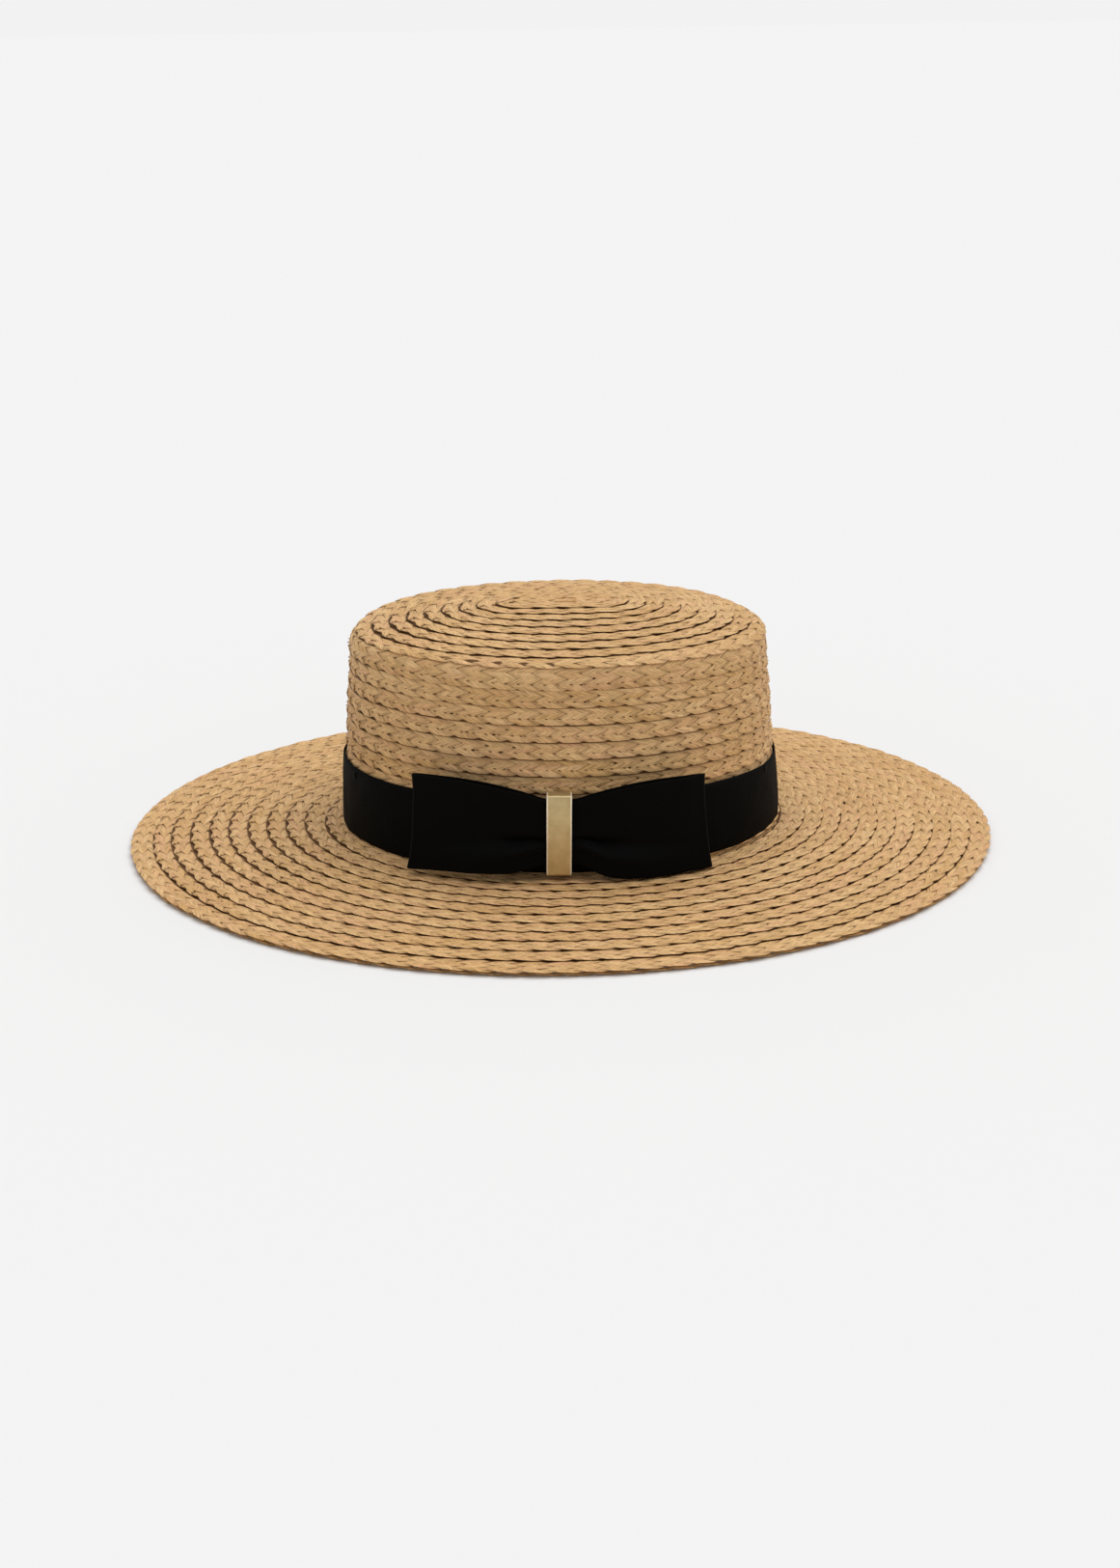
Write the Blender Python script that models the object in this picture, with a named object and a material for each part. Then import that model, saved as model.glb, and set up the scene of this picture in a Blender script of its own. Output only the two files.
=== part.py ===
"""Straw sun hat: sewn straw braid body, ribbon hatband, flat bow with a metal clip.

Frame: metres, +Z up. The rim of the brim lies on z = 0 and the origin is the centre of
the rim oval. The hat's long axis runs along X, and the bow is on the -Y side.
"""
import math

import bmesh
import bpy

# --- driving dimensions, in metres ------------------------------------------------------
GAP = 0.0003                    # clearance between two pieces that touch
RING_SIDES = 48                 # facets round every oval

STRAW = 0.0026                  # thickness of two lapped rows of braid
HEAD_A, HEAD_B = 0.1030, 0.0826   # half widths of the crown at the headline, outside
TIP_A, TIP_B = 0.0980, 0.0776     # half widths of the crown at the tip edge, outside
RIM_A, RIM_B = 0.2046, 0.1770     # half widths of the brim's rim

HEADLINE_Z = 0.0090             # top of the brim where it meets the crown
TIP_EDGE_Z = 0.1035             # where the tip runs into its rounded edge
TIP_DOME = 0.0097               # rise of the tip's middle over that height
TIP_DOME_POWER = 1.6
TIP_ROUND = 0.0070              # radius of the rounded tip edge
TIP_FALL = math.radians(12.0)   # slope of the tip where the rounding starts
RIM_TOP_Z = 0.0030              # top of the last row at the rim
DROOP_POWER = 2.4               # the brim stays level near the crown, then droops

UNDER_ROW_WIDTH = 0.0060        # the row doubled under the rim
UNDER_ROW_THICK = 0.00125
WIRE_R = 0.0005                 # nylon wire in the rim
WIRE_INSET = 0.0019             # rim edge to wire centre
WIRE_Z = 0.00075
RIM_LIP_Z = 0.0003              # underside of the rim's outer lip

BAND_HEIGHT = 0.0340            # hatband ribbon
BAND_THICK = 0.0013
SWEAT_HEIGHT = 0.0300           # sweatband
SWEAT_THICK = 0.0009
SWEAT_BASE_Z = 0.0070
THREAD_R = 0.00025
HEADLINE_SEAM_RISE = 0.00045    # seam's centre above its clearance from the brim
SWEAT_SEAM_RISE = 0.0015        # seam's centre above the sweatband's lower edge

BOW_HALF = 0.0660               # clip centre to bow end
BOW_BASE_Z = 0.0106             # lower edge at the bow ends
BOW_HEIGHT = 0.0455
PINCH_HEIGHT = 0.0344           # height of the ribbon inside the clip
BOW_THICK = 0.0010
BOW_PACK = 0.0034               # thickness of the gathered ribbon in the clip
BOW_PUFF = 0.0046               # how far the front layer stands off the bow's middle
BOW_BACK_SHARE = 0.6            # the back layer stands off this share of the front's
BOW_SWEEP = 0.0085              # how far the ends lie back toward the crown
BOW_STEPS = 14                  # facets along each layer
BOW_OPEN_FROM, BOW_OPEN_TO = 0.09, 0.44   # where the layers part, as shares of a wing
BOW_END_FROM = 0.70             # where the layers begin to close toward the end fold
BOW_END_POWER = 0.35
BOW_RISE_FROM, BOW_RISE_TO = 0.10, 0.85   # where the ribbon spreads to its full height
BOW_STITCH_X, BOW_STITCH_Z = 0.0085, 0.0280
BOW_STITCH_WIDTH, BOW_STITCH_HEIGHT = 0.0010, 0.0040

CLIP_WIDTH = 0.0113
CLIP_HEIGHT = 0.0376
CLIP_WALL = 0.0009
CLIP_BASE_Z = 0.0108

LABEL_WIDTH, LABEL_HEIGHT, LABEL_THICK = 0.0200, 0.0160, 0.0005
TACK_LENGTH, TACK_R = 0.0036, 0.0004


# --- helpers ----------------------------------------------------------------------------
def clear_scene():
    for obj in list(bpy.data.objects):
        bpy.data.objects.remove(obj, do_unlink=True)


def material(name, colour, roughness, metallic=0.0):
    mat = bpy.data.materials.new(name)
    mat.use_nodes = True
    shader = mat.node_tree.nodes["Principled BSDF"]
    shader.inputs["Base Color"].default_value = (*colour, 1.0)
    shader.inputs["Roughness"].default_value = roughness
    shader.inputs["Metallic"].default_value = metallic
    mat.diffuse_color = (*colour, 1.0)
    return mat


def finish(bm, name, mat, sharp_deg=35.0):
    """Turn a bmesh into a named object with outward faces and smooth round surfaces."""
    bmesh.ops.recalc_face_normals(bm, faces=bm.faces)
    mesh = bpy.data.meshes.new(name)
    bm.to_mesh(mesh)
    bm.free()
    mesh.shade_smooth()
    mesh.set_sharp_from_angle(angle=math.radians(sharp_deg))
    obj = bpy.data.objects.new(name, mesh)
    obj.data.materials.append(mat)
    bpy.context.scene.collection.objects.link(obj)
    return obj


def oval_point(a, b, turn):
    """The point of the oval a x b whose outward normal points along the angle turn."""
    reach = math.hypot(a * math.cos(turn), b * math.sin(turn))
    return a * a * math.cos(turn) / reach, b * b * math.sin(turn) / reach


def oval_ring(bm, a, b, z):
    if a < 1e-6:
        return [bm.verts.new((0.0, 0.0, z))]
    turns = (2 * math.pi * i / RING_SIDES for i in range(RING_SIDES))
    return [bm.verts.new((*oval_point(a, b, turn), z)) for turn in turns]


def bridge_rings(bm, ring, other):
    """Skin between two neighbouring rings, either of which may be a single centre point."""
    count = max(len(ring), len(other))
    for i in range(count):
        j = (i + 1) % count
        corners = [ring[i % len(ring)], ring[j % len(ring)],
                   other[j % len(other)], other[i % len(other)]]
        bm.faces.new(list(dict.fromkeys(corners)))


def oval_solid(name, profile, mat, closed=True):
    """Sweep a profile of (a, b, z) points round the oval; an open one ends on the axis."""
    bm = bmesh.new()
    rings = [oval_ring(bm, *point) for point in profile]
    for ring, other in zip(rings, rings[1:]):
        bridge_rings(bm, ring, other)
    if closed:
        bridge_rings(bm, rings[-1], rings[0])
    return finish(bm, name, mat)


def thread_ring(name, a, b, z, radius, mat, sides=6):
    steps = (2 * math.pi * k / sides for k in range(sides))
    section = [(radius * math.cos(s), radius * math.sin(s)) for s in steps]
    return oval_solid(name, [(a + da, b + da, z + dz) for da, dz in section], mat)


def wall_top():
    """Height at which the upright wall ends and the rounded edge begins."""
    return TIP_EDGE_Z - TIP_ROUND * math.cos(TIP_FALL)


def wall_at(z):
    """Outer half widths of the side crown at height z."""
    rise = (z - HEADLINE_Z) / (wall_top() - HEADLINE_Z)
    return HEAD_A + (TIP_A - HEAD_A) * rise, HEAD_B + (TIP_B - HEAD_B) * rise


def wall_point(z, offset):
    a, b = wall_at(z)
    return a + offset, b + offset, z


# --- straw body -------------------------------------------------------------------------
def crown_tip(mat):
    """The top of the crown with its rounded edge."""
    centre_a, centre_b = TIP_A - TIP_ROUND, TIP_B - TIP_ROUND
    centre_z = wall_top()
    spread = centre_a - centre_b

    def surface(drop):
        arc_r = TIP_ROUND - drop
        turns = [TIP_FALL + (math.pi / 2 - TIP_FALL) * k / 4 for k in range(5)]
        arc = [(centre_a + arc_r * math.sin(q), centre_b + arc_r * math.sin(q),
                centre_z + arc_r * math.cos(q)) for q in turns]
        edge_b = arc[0][1]
        dome = [(edge_b * s + spread * min(1.0, 4 * s), edge_b * s,
                 TIP_EDGE_Z - drop + TIP_DOME * (1 - s ** TIP_DOME_POWER))
                for s in (0.0, 0.12, 0.3, 0.5, 0.7, 0.86)]
        return dome + arc

    profile = surface(0.0) + surface(STRAW)[::-1]
    return oval_solid("crown_tip", profile, mat, closed=False)


def side_crown(mat):
    """The upright wall of the crown, with a chamfer that leaves room for the seam thread."""
    foot = HEADLINE_Z + GAP
    chamfer = 0.0014
    top = wall_top() - GAP
    middle = (foot + top) / 2
    profile = [wall_point(foot, -chamfer), wall_point(foot + chamfer, 0.0), wall_point(middle, 0.0),
               wall_point(top, 0.0), wall_point(top, -STRAW), wall_point(middle, -STRAW),
               wall_point(foot, -STRAW)]
    return oval_solid("side_crown", profile, mat)


def brim_at(t):
    """Half widths and top height of the brim, t from 0 at the headline to 1 at the rim."""
    a = HEAD_A + (RIM_A - HEAD_A) * t
    b = HEAD_B + (RIM_B - HEAD_B) * t
    return a, b, RIM_TOP_Z + (HEADLINE_Z - RIM_TOP_Z) * (1 - t ** DROOP_POWER)


def brim(mat):
    """The brim, whose outer lip curls over the rim wire and lies on the doubled row."""
    steps = (0.0, 0.2, 0.4, 0.6, 0.75, 0.88)
    over = [brim_at(t) for t in steps]
    under = [(a, b, z - STRAW) for a, b, z in over]
    inner_edge = (HEAD_A - STRAW, HEAD_B - STRAW)
    ledge_z = UNDER_ROW_THICK + GAP
    lip = WIRE_INSET - WIRE_R - GAP
    ledge = WIRE_INSET + WIRE_R + 2 * GAP + UNDER_ROW_WIDTH
    rim = [(0.0040, RIM_TOP_Z + 0.0005), (0.0006, RIM_TOP_Z), (0.0, RIM_TOP_Z - 0.0006),
           (0.0, RIM_LIP_Z + 0.0002), (0.0002, RIM_LIP_Z), (lip, RIM_LIP_Z), (lip, ledge_z),
           (ledge, ledge_z)]
    profile = [(*inner_edge, HEADLINE_Z)] + over
    profile += [(RIM_A - inset, RIM_B - inset, z) for inset, z in rim]
    profile += under[::-1] + [(*inner_edge, HEADLINE_Z - STRAW)]
    return oval_solid("brim", profile, mat)


def rim_under_row(mat):
    """The last row of braid doubled back under the rim: what the hat rests on."""
    outer = WIRE_INSET + WIRE_R + GAP
    inner = outer + UNDER_ROW_WIDTH
    corners = [(outer, 0.0), (outer, UNDER_ROW_THICK), (inner, UNDER_ROW_THICK), (inner, 0.0)]
    profile = [(RIM_A - inset, RIM_B - inset, z) for inset, z in corners]
    return oval_solid("rim_under_row", profile, mat)


def brim_edge_wire(mat):
    return thread_ring("brim_edge_wire", RIM_A - WIRE_INSET, RIM_B - WIRE_INSET, WIRE_Z,
                       WIRE_R, mat)


# --- ribbon, sweatband and threads ------------------------------------------------------
def ribbon_band(name, base_z, height, inner, thick, mat):
    """A flat band that follows the crown wall, inner being its offset from the outside."""
    top_z = base_z + height
    profile = [wall_point(base_z, inner), wall_point(base_z, inner + thick),
               wall_point(top_z, inner + thick), wall_point(top_z, inner)]
    return oval_solid(name, profile, mat)


def hatband_ribbon(mat):
    return ribbon_band("hatband_ribbon", HEADLINE_Z + 2 * GAP, BAND_HEIGHT, GAP, BAND_THICK, mat)


def sweatband(mat):
    return ribbon_band("sweatband", SWEAT_BASE_Z, SWEAT_HEIGHT, -STRAW - GAP - SWEAT_THICK,
                       SWEAT_THICK, mat)


def headline_seam(mat):
    """Thread in the corner between brim and crown, under the hatband."""
    a, b, z = wall_point(HEADLINE_Z + GAP + HEADLINE_SEAM_RISE, -THREAD_R)
    return thread_ring("headline_seam", a, b, z, THREAD_R, mat)


def sweatband_seam(mat):
    inset = STRAW + 2 * GAP + SWEAT_THICK + THREAD_R
    a, b, z = wall_point(SWEAT_BASE_Z + SWEAT_SEAM_RISE, -inset)
    return thread_ring("sweatband_seam", a, b, z, THREAD_R, mat)


def rounded_box(name, size, centre, mat, bevel, segments=1):
    bm = bmesh.new()
    bmesh.ops.create_cube(bm, size=1.0)
    bmesh.ops.scale(bm, vec=size, verts=bm.verts)
    bmesh.ops.bevel(bm, geom=bm.edges[:], offset=bevel, segments=segments, affect="EDGES")
    bmesh.ops.translate(bm, vec=centre, verts=bm.verts)
    return finish(bm, name, mat)


def size_label(mat):
    """A blank cloth tag sewn inside the back of the sweatband."""
    base_z = SWEAT_BASE_Z + 0.0040
    a, b, _ = wall_point(base_z + LABEL_HEIGHT, -STRAW - 2 * GAP - SWEAT_THICK)
    sagitta = b * (1 - math.sqrt(1 - (LABEL_WIDTH / 2 / a) ** 2))
    y = b - sagitta - LABEL_THICK / 2 - GAP
    z = base_z + LABEL_HEIGHT / 2
    return rounded_box("size_label", (LABEL_WIDTH, LABEL_THICK, LABEL_HEIGHT), (0.0, y, z), mat,
                       LABEL_THICK * 0.3)


def band_tack(name, turn, mat):
    """A short hand stitch through the top of the hatband, where the normal points to turn."""
    z = HEADLINE_Z + BAND_HEIGHT - 0.0040
    a, b, _ = wall_point(z, 2 * GAP + BAND_THICK + TACK_R)
    x, y = oval_point(a, b, turn)
    bm = bmesh.new()
    bmesh.ops.create_uvsphere(bm, u_segments=8, v_segments=6, radius=TACK_R)
    half = TACK_LENGTH / 2 - TACK_R
    for vert in bm.verts:
        vert.co.z += math.copysign(half, vert.co.z) if abs(vert.co.z) > 1e-6 else 0.0
        vert.co.x += x
        vert.co.y += y
        vert.co.z += z
    return finish(bm, name, mat, sharp_deg=80.0)


# --- bow --------------------------------------------------------------------------------
def bow_plane_y():
    """Middle of the gathered ribbon inside the clip."""
    _, band_front, _ = wall_point(HEADLINE_Z, GAP + BAND_THICK)
    return -(band_front + 2 * GAP + CLIP_WALL + BOW_PACK / 2)


def share_between(value, low, high):
    """How far a value has gone from low to high, held between 0 and 1."""
    return min(1.0, max(0.0, (value - low) / (high - low)))


def bow_opening(reach):
    """How far the front layer stands off the bow's middle, at a share of a wing."""
    pinch = BOW_PACK / 2 - BOW_THICK / 2
    parted = share_between(reach, BOW_OPEN_FROM, BOW_OPEN_TO)
    puff = pinch + (BOW_PUFF - pinch) * parted * parted * (3 - 2 * parted)
    full = (1 - BOW_END_FROM) ** BOW_END_POWER
    if reach > BOW_END_FROM:
        return puff * max(0.0, 1 - reach) ** BOW_END_POWER
    return puff * (1 + (full - 1) * parted)


def bow_outline():
    """Closed plan of the flattened loop: (x, y, 0..1 distance from clip), back layer first."""
    plane_y = bow_plane_y()
    span = [-1 + 2 * k / BOW_STEPS for k in range(BOW_STEPS + 1)]
    back = []
    front = []
    for u in span:
        middle = plane_y + BOW_SWEEP * u * u
        opening = bow_opening(abs(u))
        back.append((BOW_HALF * u, middle + opening * BOW_BACK_SHARE, abs(u)))
        front.append((BOW_HALF * u, middle - opening, abs(u)))
    return back[:-1] + front[1:][::-1]


def bow_loops(mat):
    """One flattened loop of ribbon, gathered in the middle where the clip holds it."""
    outline = bow_outline()
    count = len(outline)
    bm = bmesh.new()
    rows = []
    for i, (x, y, reach) in enumerate(outline):
        before = outline[i - 1]
        after = outline[(i + 1) % count]
        along = (after[0] - before[0], after[1] - before[1])
        length = math.hypot(*along)
        side = (along[1] / length, -along[0] / length)
        grow = math.sin(share_between(reach, BOW_RISE_FROM, BOW_RISE_TO) * math.pi / 2)
        height = PINCH_HEIGHT + (BOW_HEIGHT - PINCH_HEIGHT) * grow
        low_pinch = CLIP_BASE_Z + (CLIP_HEIGHT - PINCH_HEIGHT) / 2
        low = low_pinch + (BOW_BASE_Z - low_pinch) * grow
        half = BOW_THICK / 2
        rows.append([bm.verts.new((x + side[0] * s * half, y + side[1] * s * half, z))
                     for s, z in ((1, low), (1, low + height), (-1, low + height), (-1, low))])
    for i in range(count):
        row = rows[i]
        following = rows[(i + 1) % count]
        for k in range(4):
            m = (k + 1) % 4
            bm.faces.new((row[k], row[m], following[m], following[k]))
    return finish(bm, "bow_loops", mat)


def bow_clip(mat):
    """A metal sleeve round the gathered middle of the bow."""
    plane_y = bow_plane_y()
    depth = BOW_PACK + 2 * GAP
    bm = bmesh.new()
    outer = []
    inner = []
    for y_sign, z_sign in ((-1, -1), (1, -1), (1, 1), (-1, 1)):
        outer.append((plane_y + y_sign * (depth / 2 + CLIP_WALL),
                      CLIP_BASE_Z + CLIP_HEIGHT / 2 + z_sign * CLIP_HEIGHT / 2))
        inner.append((plane_y + y_sign * depth / 2,
                      CLIP_BASE_Z + CLIP_HEIGHT / 2 + z_sign * (CLIP_HEIGHT / 2 - CLIP_WALL)))
    sections = []
    for x in (-CLIP_WIDTH / 2, CLIP_WIDTH / 2):
        sections.append(([bm.verts.new((x, *p)) for p in outer],
                         [bm.verts.new((x, *p)) for p in inner]))
    (left_out, left_in), (right_out, right_in) = sections
    for i in range(4):
        j = (i + 1) % 4
        bm.faces.new((left_out[i], left_out[j], left_in[j], left_in[i]))
        bm.faces.new((right_out[i], right_in[i], right_in[j], right_out[j]))
        bm.faces.new((left_out[i], right_out[i], right_out[j], left_out[j]))
        bm.faces.new((left_in[i], left_in[j], right_in[j], right_in[i]))
    outer_edges = [e for e in bm.edges
                   if all(v in left_out + right_out for v in e.verts)]
    bmesh.ops.bevel(bm, geom=outer_edges, offset=0.0004, segments=2, affect="EDGES")
    return finish(bm, "bow_clip", mat)


def bow_stitch(name, side, mat):
    """Thread that ties the back of the bow to the hatband, beside the clip."""
    x = side * BOW_STITCH_X
    a, b, _ = wall_point(BOW_STITCH_Z, GAP + BAND_THICK)
    front = -b * math.sqrt(1 - (x / a) ** 2)
    beside_clip = [y for px, y, _ in bow_outline() if abs(px) < CLIP_WIDTH]
    back_layer = max(beside_clip) + BOW_THICK / 2
    room = front - back_layer
    centre = (x, (front + back_layer) / 2, BOW_STITCH_Z)
    size = (BOW_STITCH_WIDTH, room - 2 * GAP, BOW_STITCH_HEIGHT)
    return rounded_box(name, size, centre, mat, 0.00008)


# --- the hat ----------------------------------------------------------------------------
def build():
    clear_scene()
    straw = material("straw", (0.52, 0.34, 0.18), 0.75)
    ribbon = material("black_grosgrain", (0.006, 0.006, 0.006), 0.65)
    brass = material("satin_brass", (0.52, 0.38, 0.17), 0.35, 1.0)
    cotton = material("sweatband_cotton", (0.50, 0.36, 0.22), 0.85)
    thread = material("straw_thread", (0.42, 0.28, 0.15), 0.80)
    black_thread = material("black_thread", (0.010, 0.010, 0.010), 0.70)
    nylon = material("clear_nylon", (0.75, 0.74, 0.70), 0.35)
    tag = material("label_cloth", (0.78, 0.76, 0.70), 0.85)

    crown_tip(straw)
    side_crown(straw)
    brim(straw)
    rim_under_row(straw)
    brim_edge_wire(nylon)
    headline_seam(thread)
    hatband_ribbon(ribbon)
    for name, turn_deg in (("tack_left", 207.0), ("tack_right", 333.0), ("tack_back", 90.0)):
        band_tack(name, math.radians(turn_deg), black_thread)
    bow_loops(ribbon)
    bow_clip(brass)
    for name, side in (("bow_stitch_left", -1), ("bow_stitch_right", 1)):
        bow_stitch(name, side, black_thread)
    sweatband(cotton)
    sweatband_seam(thread)
    size_label(tag)


build()
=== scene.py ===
import functools
import math

import bmesh
import bpy
import numpy as np
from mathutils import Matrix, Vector


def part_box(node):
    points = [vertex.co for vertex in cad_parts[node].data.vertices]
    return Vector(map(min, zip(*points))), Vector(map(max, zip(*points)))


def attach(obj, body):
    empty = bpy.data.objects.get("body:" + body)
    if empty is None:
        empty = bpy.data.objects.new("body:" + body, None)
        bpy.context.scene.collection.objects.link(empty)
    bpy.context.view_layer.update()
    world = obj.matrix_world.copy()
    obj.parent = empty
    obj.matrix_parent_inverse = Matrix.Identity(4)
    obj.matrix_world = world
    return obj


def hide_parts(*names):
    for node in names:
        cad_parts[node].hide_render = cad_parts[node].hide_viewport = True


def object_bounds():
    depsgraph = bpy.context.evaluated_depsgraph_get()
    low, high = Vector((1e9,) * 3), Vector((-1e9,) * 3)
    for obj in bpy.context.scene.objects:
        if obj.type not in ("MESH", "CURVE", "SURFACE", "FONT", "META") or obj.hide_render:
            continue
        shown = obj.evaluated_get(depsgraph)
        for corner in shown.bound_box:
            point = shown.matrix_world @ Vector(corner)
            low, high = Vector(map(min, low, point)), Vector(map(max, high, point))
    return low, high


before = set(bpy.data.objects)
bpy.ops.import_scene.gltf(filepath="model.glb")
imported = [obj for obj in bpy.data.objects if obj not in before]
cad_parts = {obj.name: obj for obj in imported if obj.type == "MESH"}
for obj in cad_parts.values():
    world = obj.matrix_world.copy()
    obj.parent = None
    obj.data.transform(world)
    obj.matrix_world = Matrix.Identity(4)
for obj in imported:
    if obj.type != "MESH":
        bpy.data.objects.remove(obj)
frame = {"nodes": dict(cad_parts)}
CAD_LOW, CAD_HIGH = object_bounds()

# ---------------------------------------------------------------- sizes, in metres

BRIM_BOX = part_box("brim")
BAND_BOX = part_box("hatband_ribbon")
BOW_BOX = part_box("bow_loops")
CLIP_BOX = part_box("bow_clip")
SWEAT_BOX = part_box("sweatband")

# The hat's outer face. A is half its width and B half its depth.
RIM_A, RIM_B = BRIM_BOX[1].x, BRIM_BOX[1].y
HEAD_A, HEAD_B = 0.1030, 0.0826  # at the headline, where the crown meets the brim
TIP_A, TIP_B = 0.0980, 0.0776  # at the tip's edge
TIP_SPREAD = TIP_A - TIP_B
HEADLINE_Z = 0.0090
TOP_Z = CAD_HIGH.z
TIP_EDGE_Z = 0.1035
TIP_DOME = TOP_Z - TIP_EDGE_Z
TIP_DOME_POWER = 1.6
TIP_ROUND = 0.0070  # the rounding of the tip's edge
RIM_TOP_Z = 0.0030
DROOP_POWER = 2.4  # the brim falls faster toward its rim
END_DROP, END_DROP_SPAN = 0.0020, 0.030  # the tip's edge is lower at its two narrow ends
ROUND_REACH = 0.060  # rings with a longer front reach than this are true ovals
TIP_POINTS, BEND_POINTS, SIDE_POINTS, BRIM_POINTS = 60, 13, 59, 59
TIP_END = TIP_POINTS + BEND_POINTS - 1
SIDE_END = TIP_END + SIDE_POINTS

# One straw plait.
STRANDS = 5
PLAIT_LENGTH = 0.057  # one strand's full way across the plait and back
RINGS = 40  # points along one plait length
STEP = PLAIT_LENGTH / RINGS
SPARE = 7  # guide points kept beyond each end of a plait
PLAIT_HALF = 0.0063  # from the plait's middle to its folded edge
STRAW_THICKNESS = 0.0005
STRAW_LIFT = 0.00033  # how far a strand rises over another
STRAW_COVER = 0.955  # a strand's width as a share of its place in the weave
EDGE_GAP = 0.20  # how much narrower a strand is where it folds over
LOOSE_GAP = 2.6  # and how many times more so where the edge is loose
UNEVENNESS, SEED = 1.0, 4.0
# How straw varies: its changes in a metre, where in the noise they are read, and their size.
UNEVEN = {
    "half width": (30.0, 5.0, 0.06),
    "stray": (55.0, 3.0, 0.00035),
    "narrow": (70.0, 17.0, 0.10),
    "lift": (120.0, 9.0, 0.00016),
    "slip": (13.0, 0.0, 0.0038),
}

# The rows of plait, counted in turns of the spiral that starts at the back.
TIP_ROWS, SIDE_ROWS, BRIM_ROWS = 9, 12, 11
BAND_ROWS = 3  # the side's rows under the band
RIM_ROW = TIP_ROWS + SIDE_ROWS + BRIM_ROWS - 1
FIRST_ROW = 0.0003  # from the tip's middle line to the first row's middle
TIP_LAST_ROW = 0.0698  # front reach of the tip's last row
SIDE_FIRST_ROW = 0.0986  # height of the side's first row
SIDE_PITCH = 0.0078
SIDE_LAST_ROW = HEADLINE_Z + PLAIT_HALF + 0.0004  # its lower edge stops just above the headline
HEADLINE_TO_ROW = 0.0055  # from the headline to the brim's first row, at the front
RIM_ROW_SHOWN = 0.0106  # how much of the rim's row shows beyond the row before it
RING_STEP = 0.84  # the share of a turn after which a ring steps out to the next one
TURN_SAMPLES = 1440
ROWS_APART = 0.0055  # nearer rows than this are tucked away under a join
FIRST_HEM = 1.2  # turns before a row has another one lying over it
NO_HEM = -1.0
LAST_TUCK, TUCK_TURN = 0.0006, 0.1  # the plait's end sinks under the row before it, over this turn
MIDDLE_OVER, MIDDLE_DROP = 0.004, 0.0010  # the tip's middle plait: past the fold's ends, and lower
TURN_UNDER, TURN_DROP = 0.0012, 0.0009  # the headline's turn: beyond the headline, and below the rows
DOUBLING_IN, DOUBLING_Z = 0.0006, 0.0009  # the rim's doubling: in from the rim's row, and its height

# How the rows lie.
SHINGLE = math.radians(6.8)  # each row's outer edge lies on the next row
CORNER_EASE, CORNER_SPAN = 0.45, 0.012  # flatter over the crown's corner
WALL_LEAN, WALL_SPAN = 0.75, 0.008  # and steeper down the crown's side
SLOPE_REACH = 0.0025
WALL_MIDDLE = 0.0013  # the plait's middle below the hat's outer face
BRAID_PROUD = 0.0006  # how far the plait's ridges stand out of the hat's outer face
WALL_SHADOW = 0.0004  # on the crown's side the painted shadow of the row above reaches a little further onto the next one
# the same loose mark also deepens the straw's painted shade at the rows' edges there
LOOSE_EDGE = 1.0  # the rows' folded edges stand more open on the hat's left side
LOOSE_TURN = math.radians(20)  # and most of all a little behind it
LOOSE_FROM, LOOSE_SPAN = 0.25, 0.55
LOOSE_END = RIM_ROW - 0.1  # the rim's own row is firm

# Ribbon, bow and clip. Pairs are for the left and the right wing.
RIBBON_THICK = 0.0006
BAND_DIP, BAND_TWIST = 0.0024, 0.0009  # the band's top edge sits lower at the two sides, most on the right
BAND_LAP_STEP = 0.0009  # the band's outer end lies on its inner end
BOW_RIBBON = 0.0455
BOW_HALF = BOW_BOX[1].x
BOW_MIDDLE = (CLIP_BOX[0].y + CLIP_BOX[1].y) / 2  # between the bow's two layers, at the clip
BOW_SWEEP = 0.0085  # how far the wings' ends curve back with the crown
BOW_LEAN = 0.0165  # the bow and its clip sit a little lower to the right
BOW_TOP, BOW_TOP_RISE = 0.0454, (0.0094, 0.0092)
BOW_LOW, BOW_LOW_LIFT, BOW_LOW_DROP = 0.0132, 0.0014, 0.0014
BOW_END_FALL, BOW_SAG, BOW_GATHER = (0.0017, 0.0011), (-0.0008, 0.0016), (0.0011, 0.0022)
END_DRAWN, END_SPLAY, END_HOLLOW, END_IN = (0.0014, 0.0036), (0.0014, 0.0007), 0.0009, 0.0006
BOW_FRONT, BOW_PUFF, BOW_OPEN = 0.0017, 0.0016, 0.0042  # the front layer's stand-off, fullness and lower lip
BOW_TUCK, BOW_RIDGE, BOW_HOLLOW, BOW_SHIFT = 0.0052, 0.0034, 0.0012, 0.0035  # the crease beside the clip
BOW_GAP, BOW_GAP_MORE = 0.0016, 0.0010  # from the bow's middle to its back layer
CLIP_SHIFT = 0.0007  # the clip sits a little left of the bow's middle
CLIP_WALL, CLIP_BEVEL, CLIP_FRONT = 0.0009, 0.0009, 0.0016

# Thread.
STITCH_PITCH, STITCH_LENGTH, THREAD_THICK = 0.0057, 0.0017, 0.00045
STITCH_LINE, STITCH_HEIGHT, STITCH_SLANT = PLAIT_HALF - 0.0026, 0.00058, 0.25
TACK_HEIGHT, TACK_SWAY, TACK_THREAD = 0.0032, 0.0007, 0.00034

# Stage.
PALE, FLOOR_SHADE = 0.888, 0.858  # the backdrop's and the floor's own brightness
SKY, SUN, SUN_SPREAD = 0.52, 0.56, math.radians(70)
SUN_WAY = (0.26, 0.22, 1.0)
CAMERA_RISE, CAMERA_ROLL = math.radians(19.24), 0.0152
CAMERA_AIM, CAMERA_AWAY = Vector((0.0, 0.0, 0.0221)), 1.100
CAMERA_LENS, CAMERA_SENSOR = 52.75, 36.0


# ---------------------------------------------------------------- meshes and pieces

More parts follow.
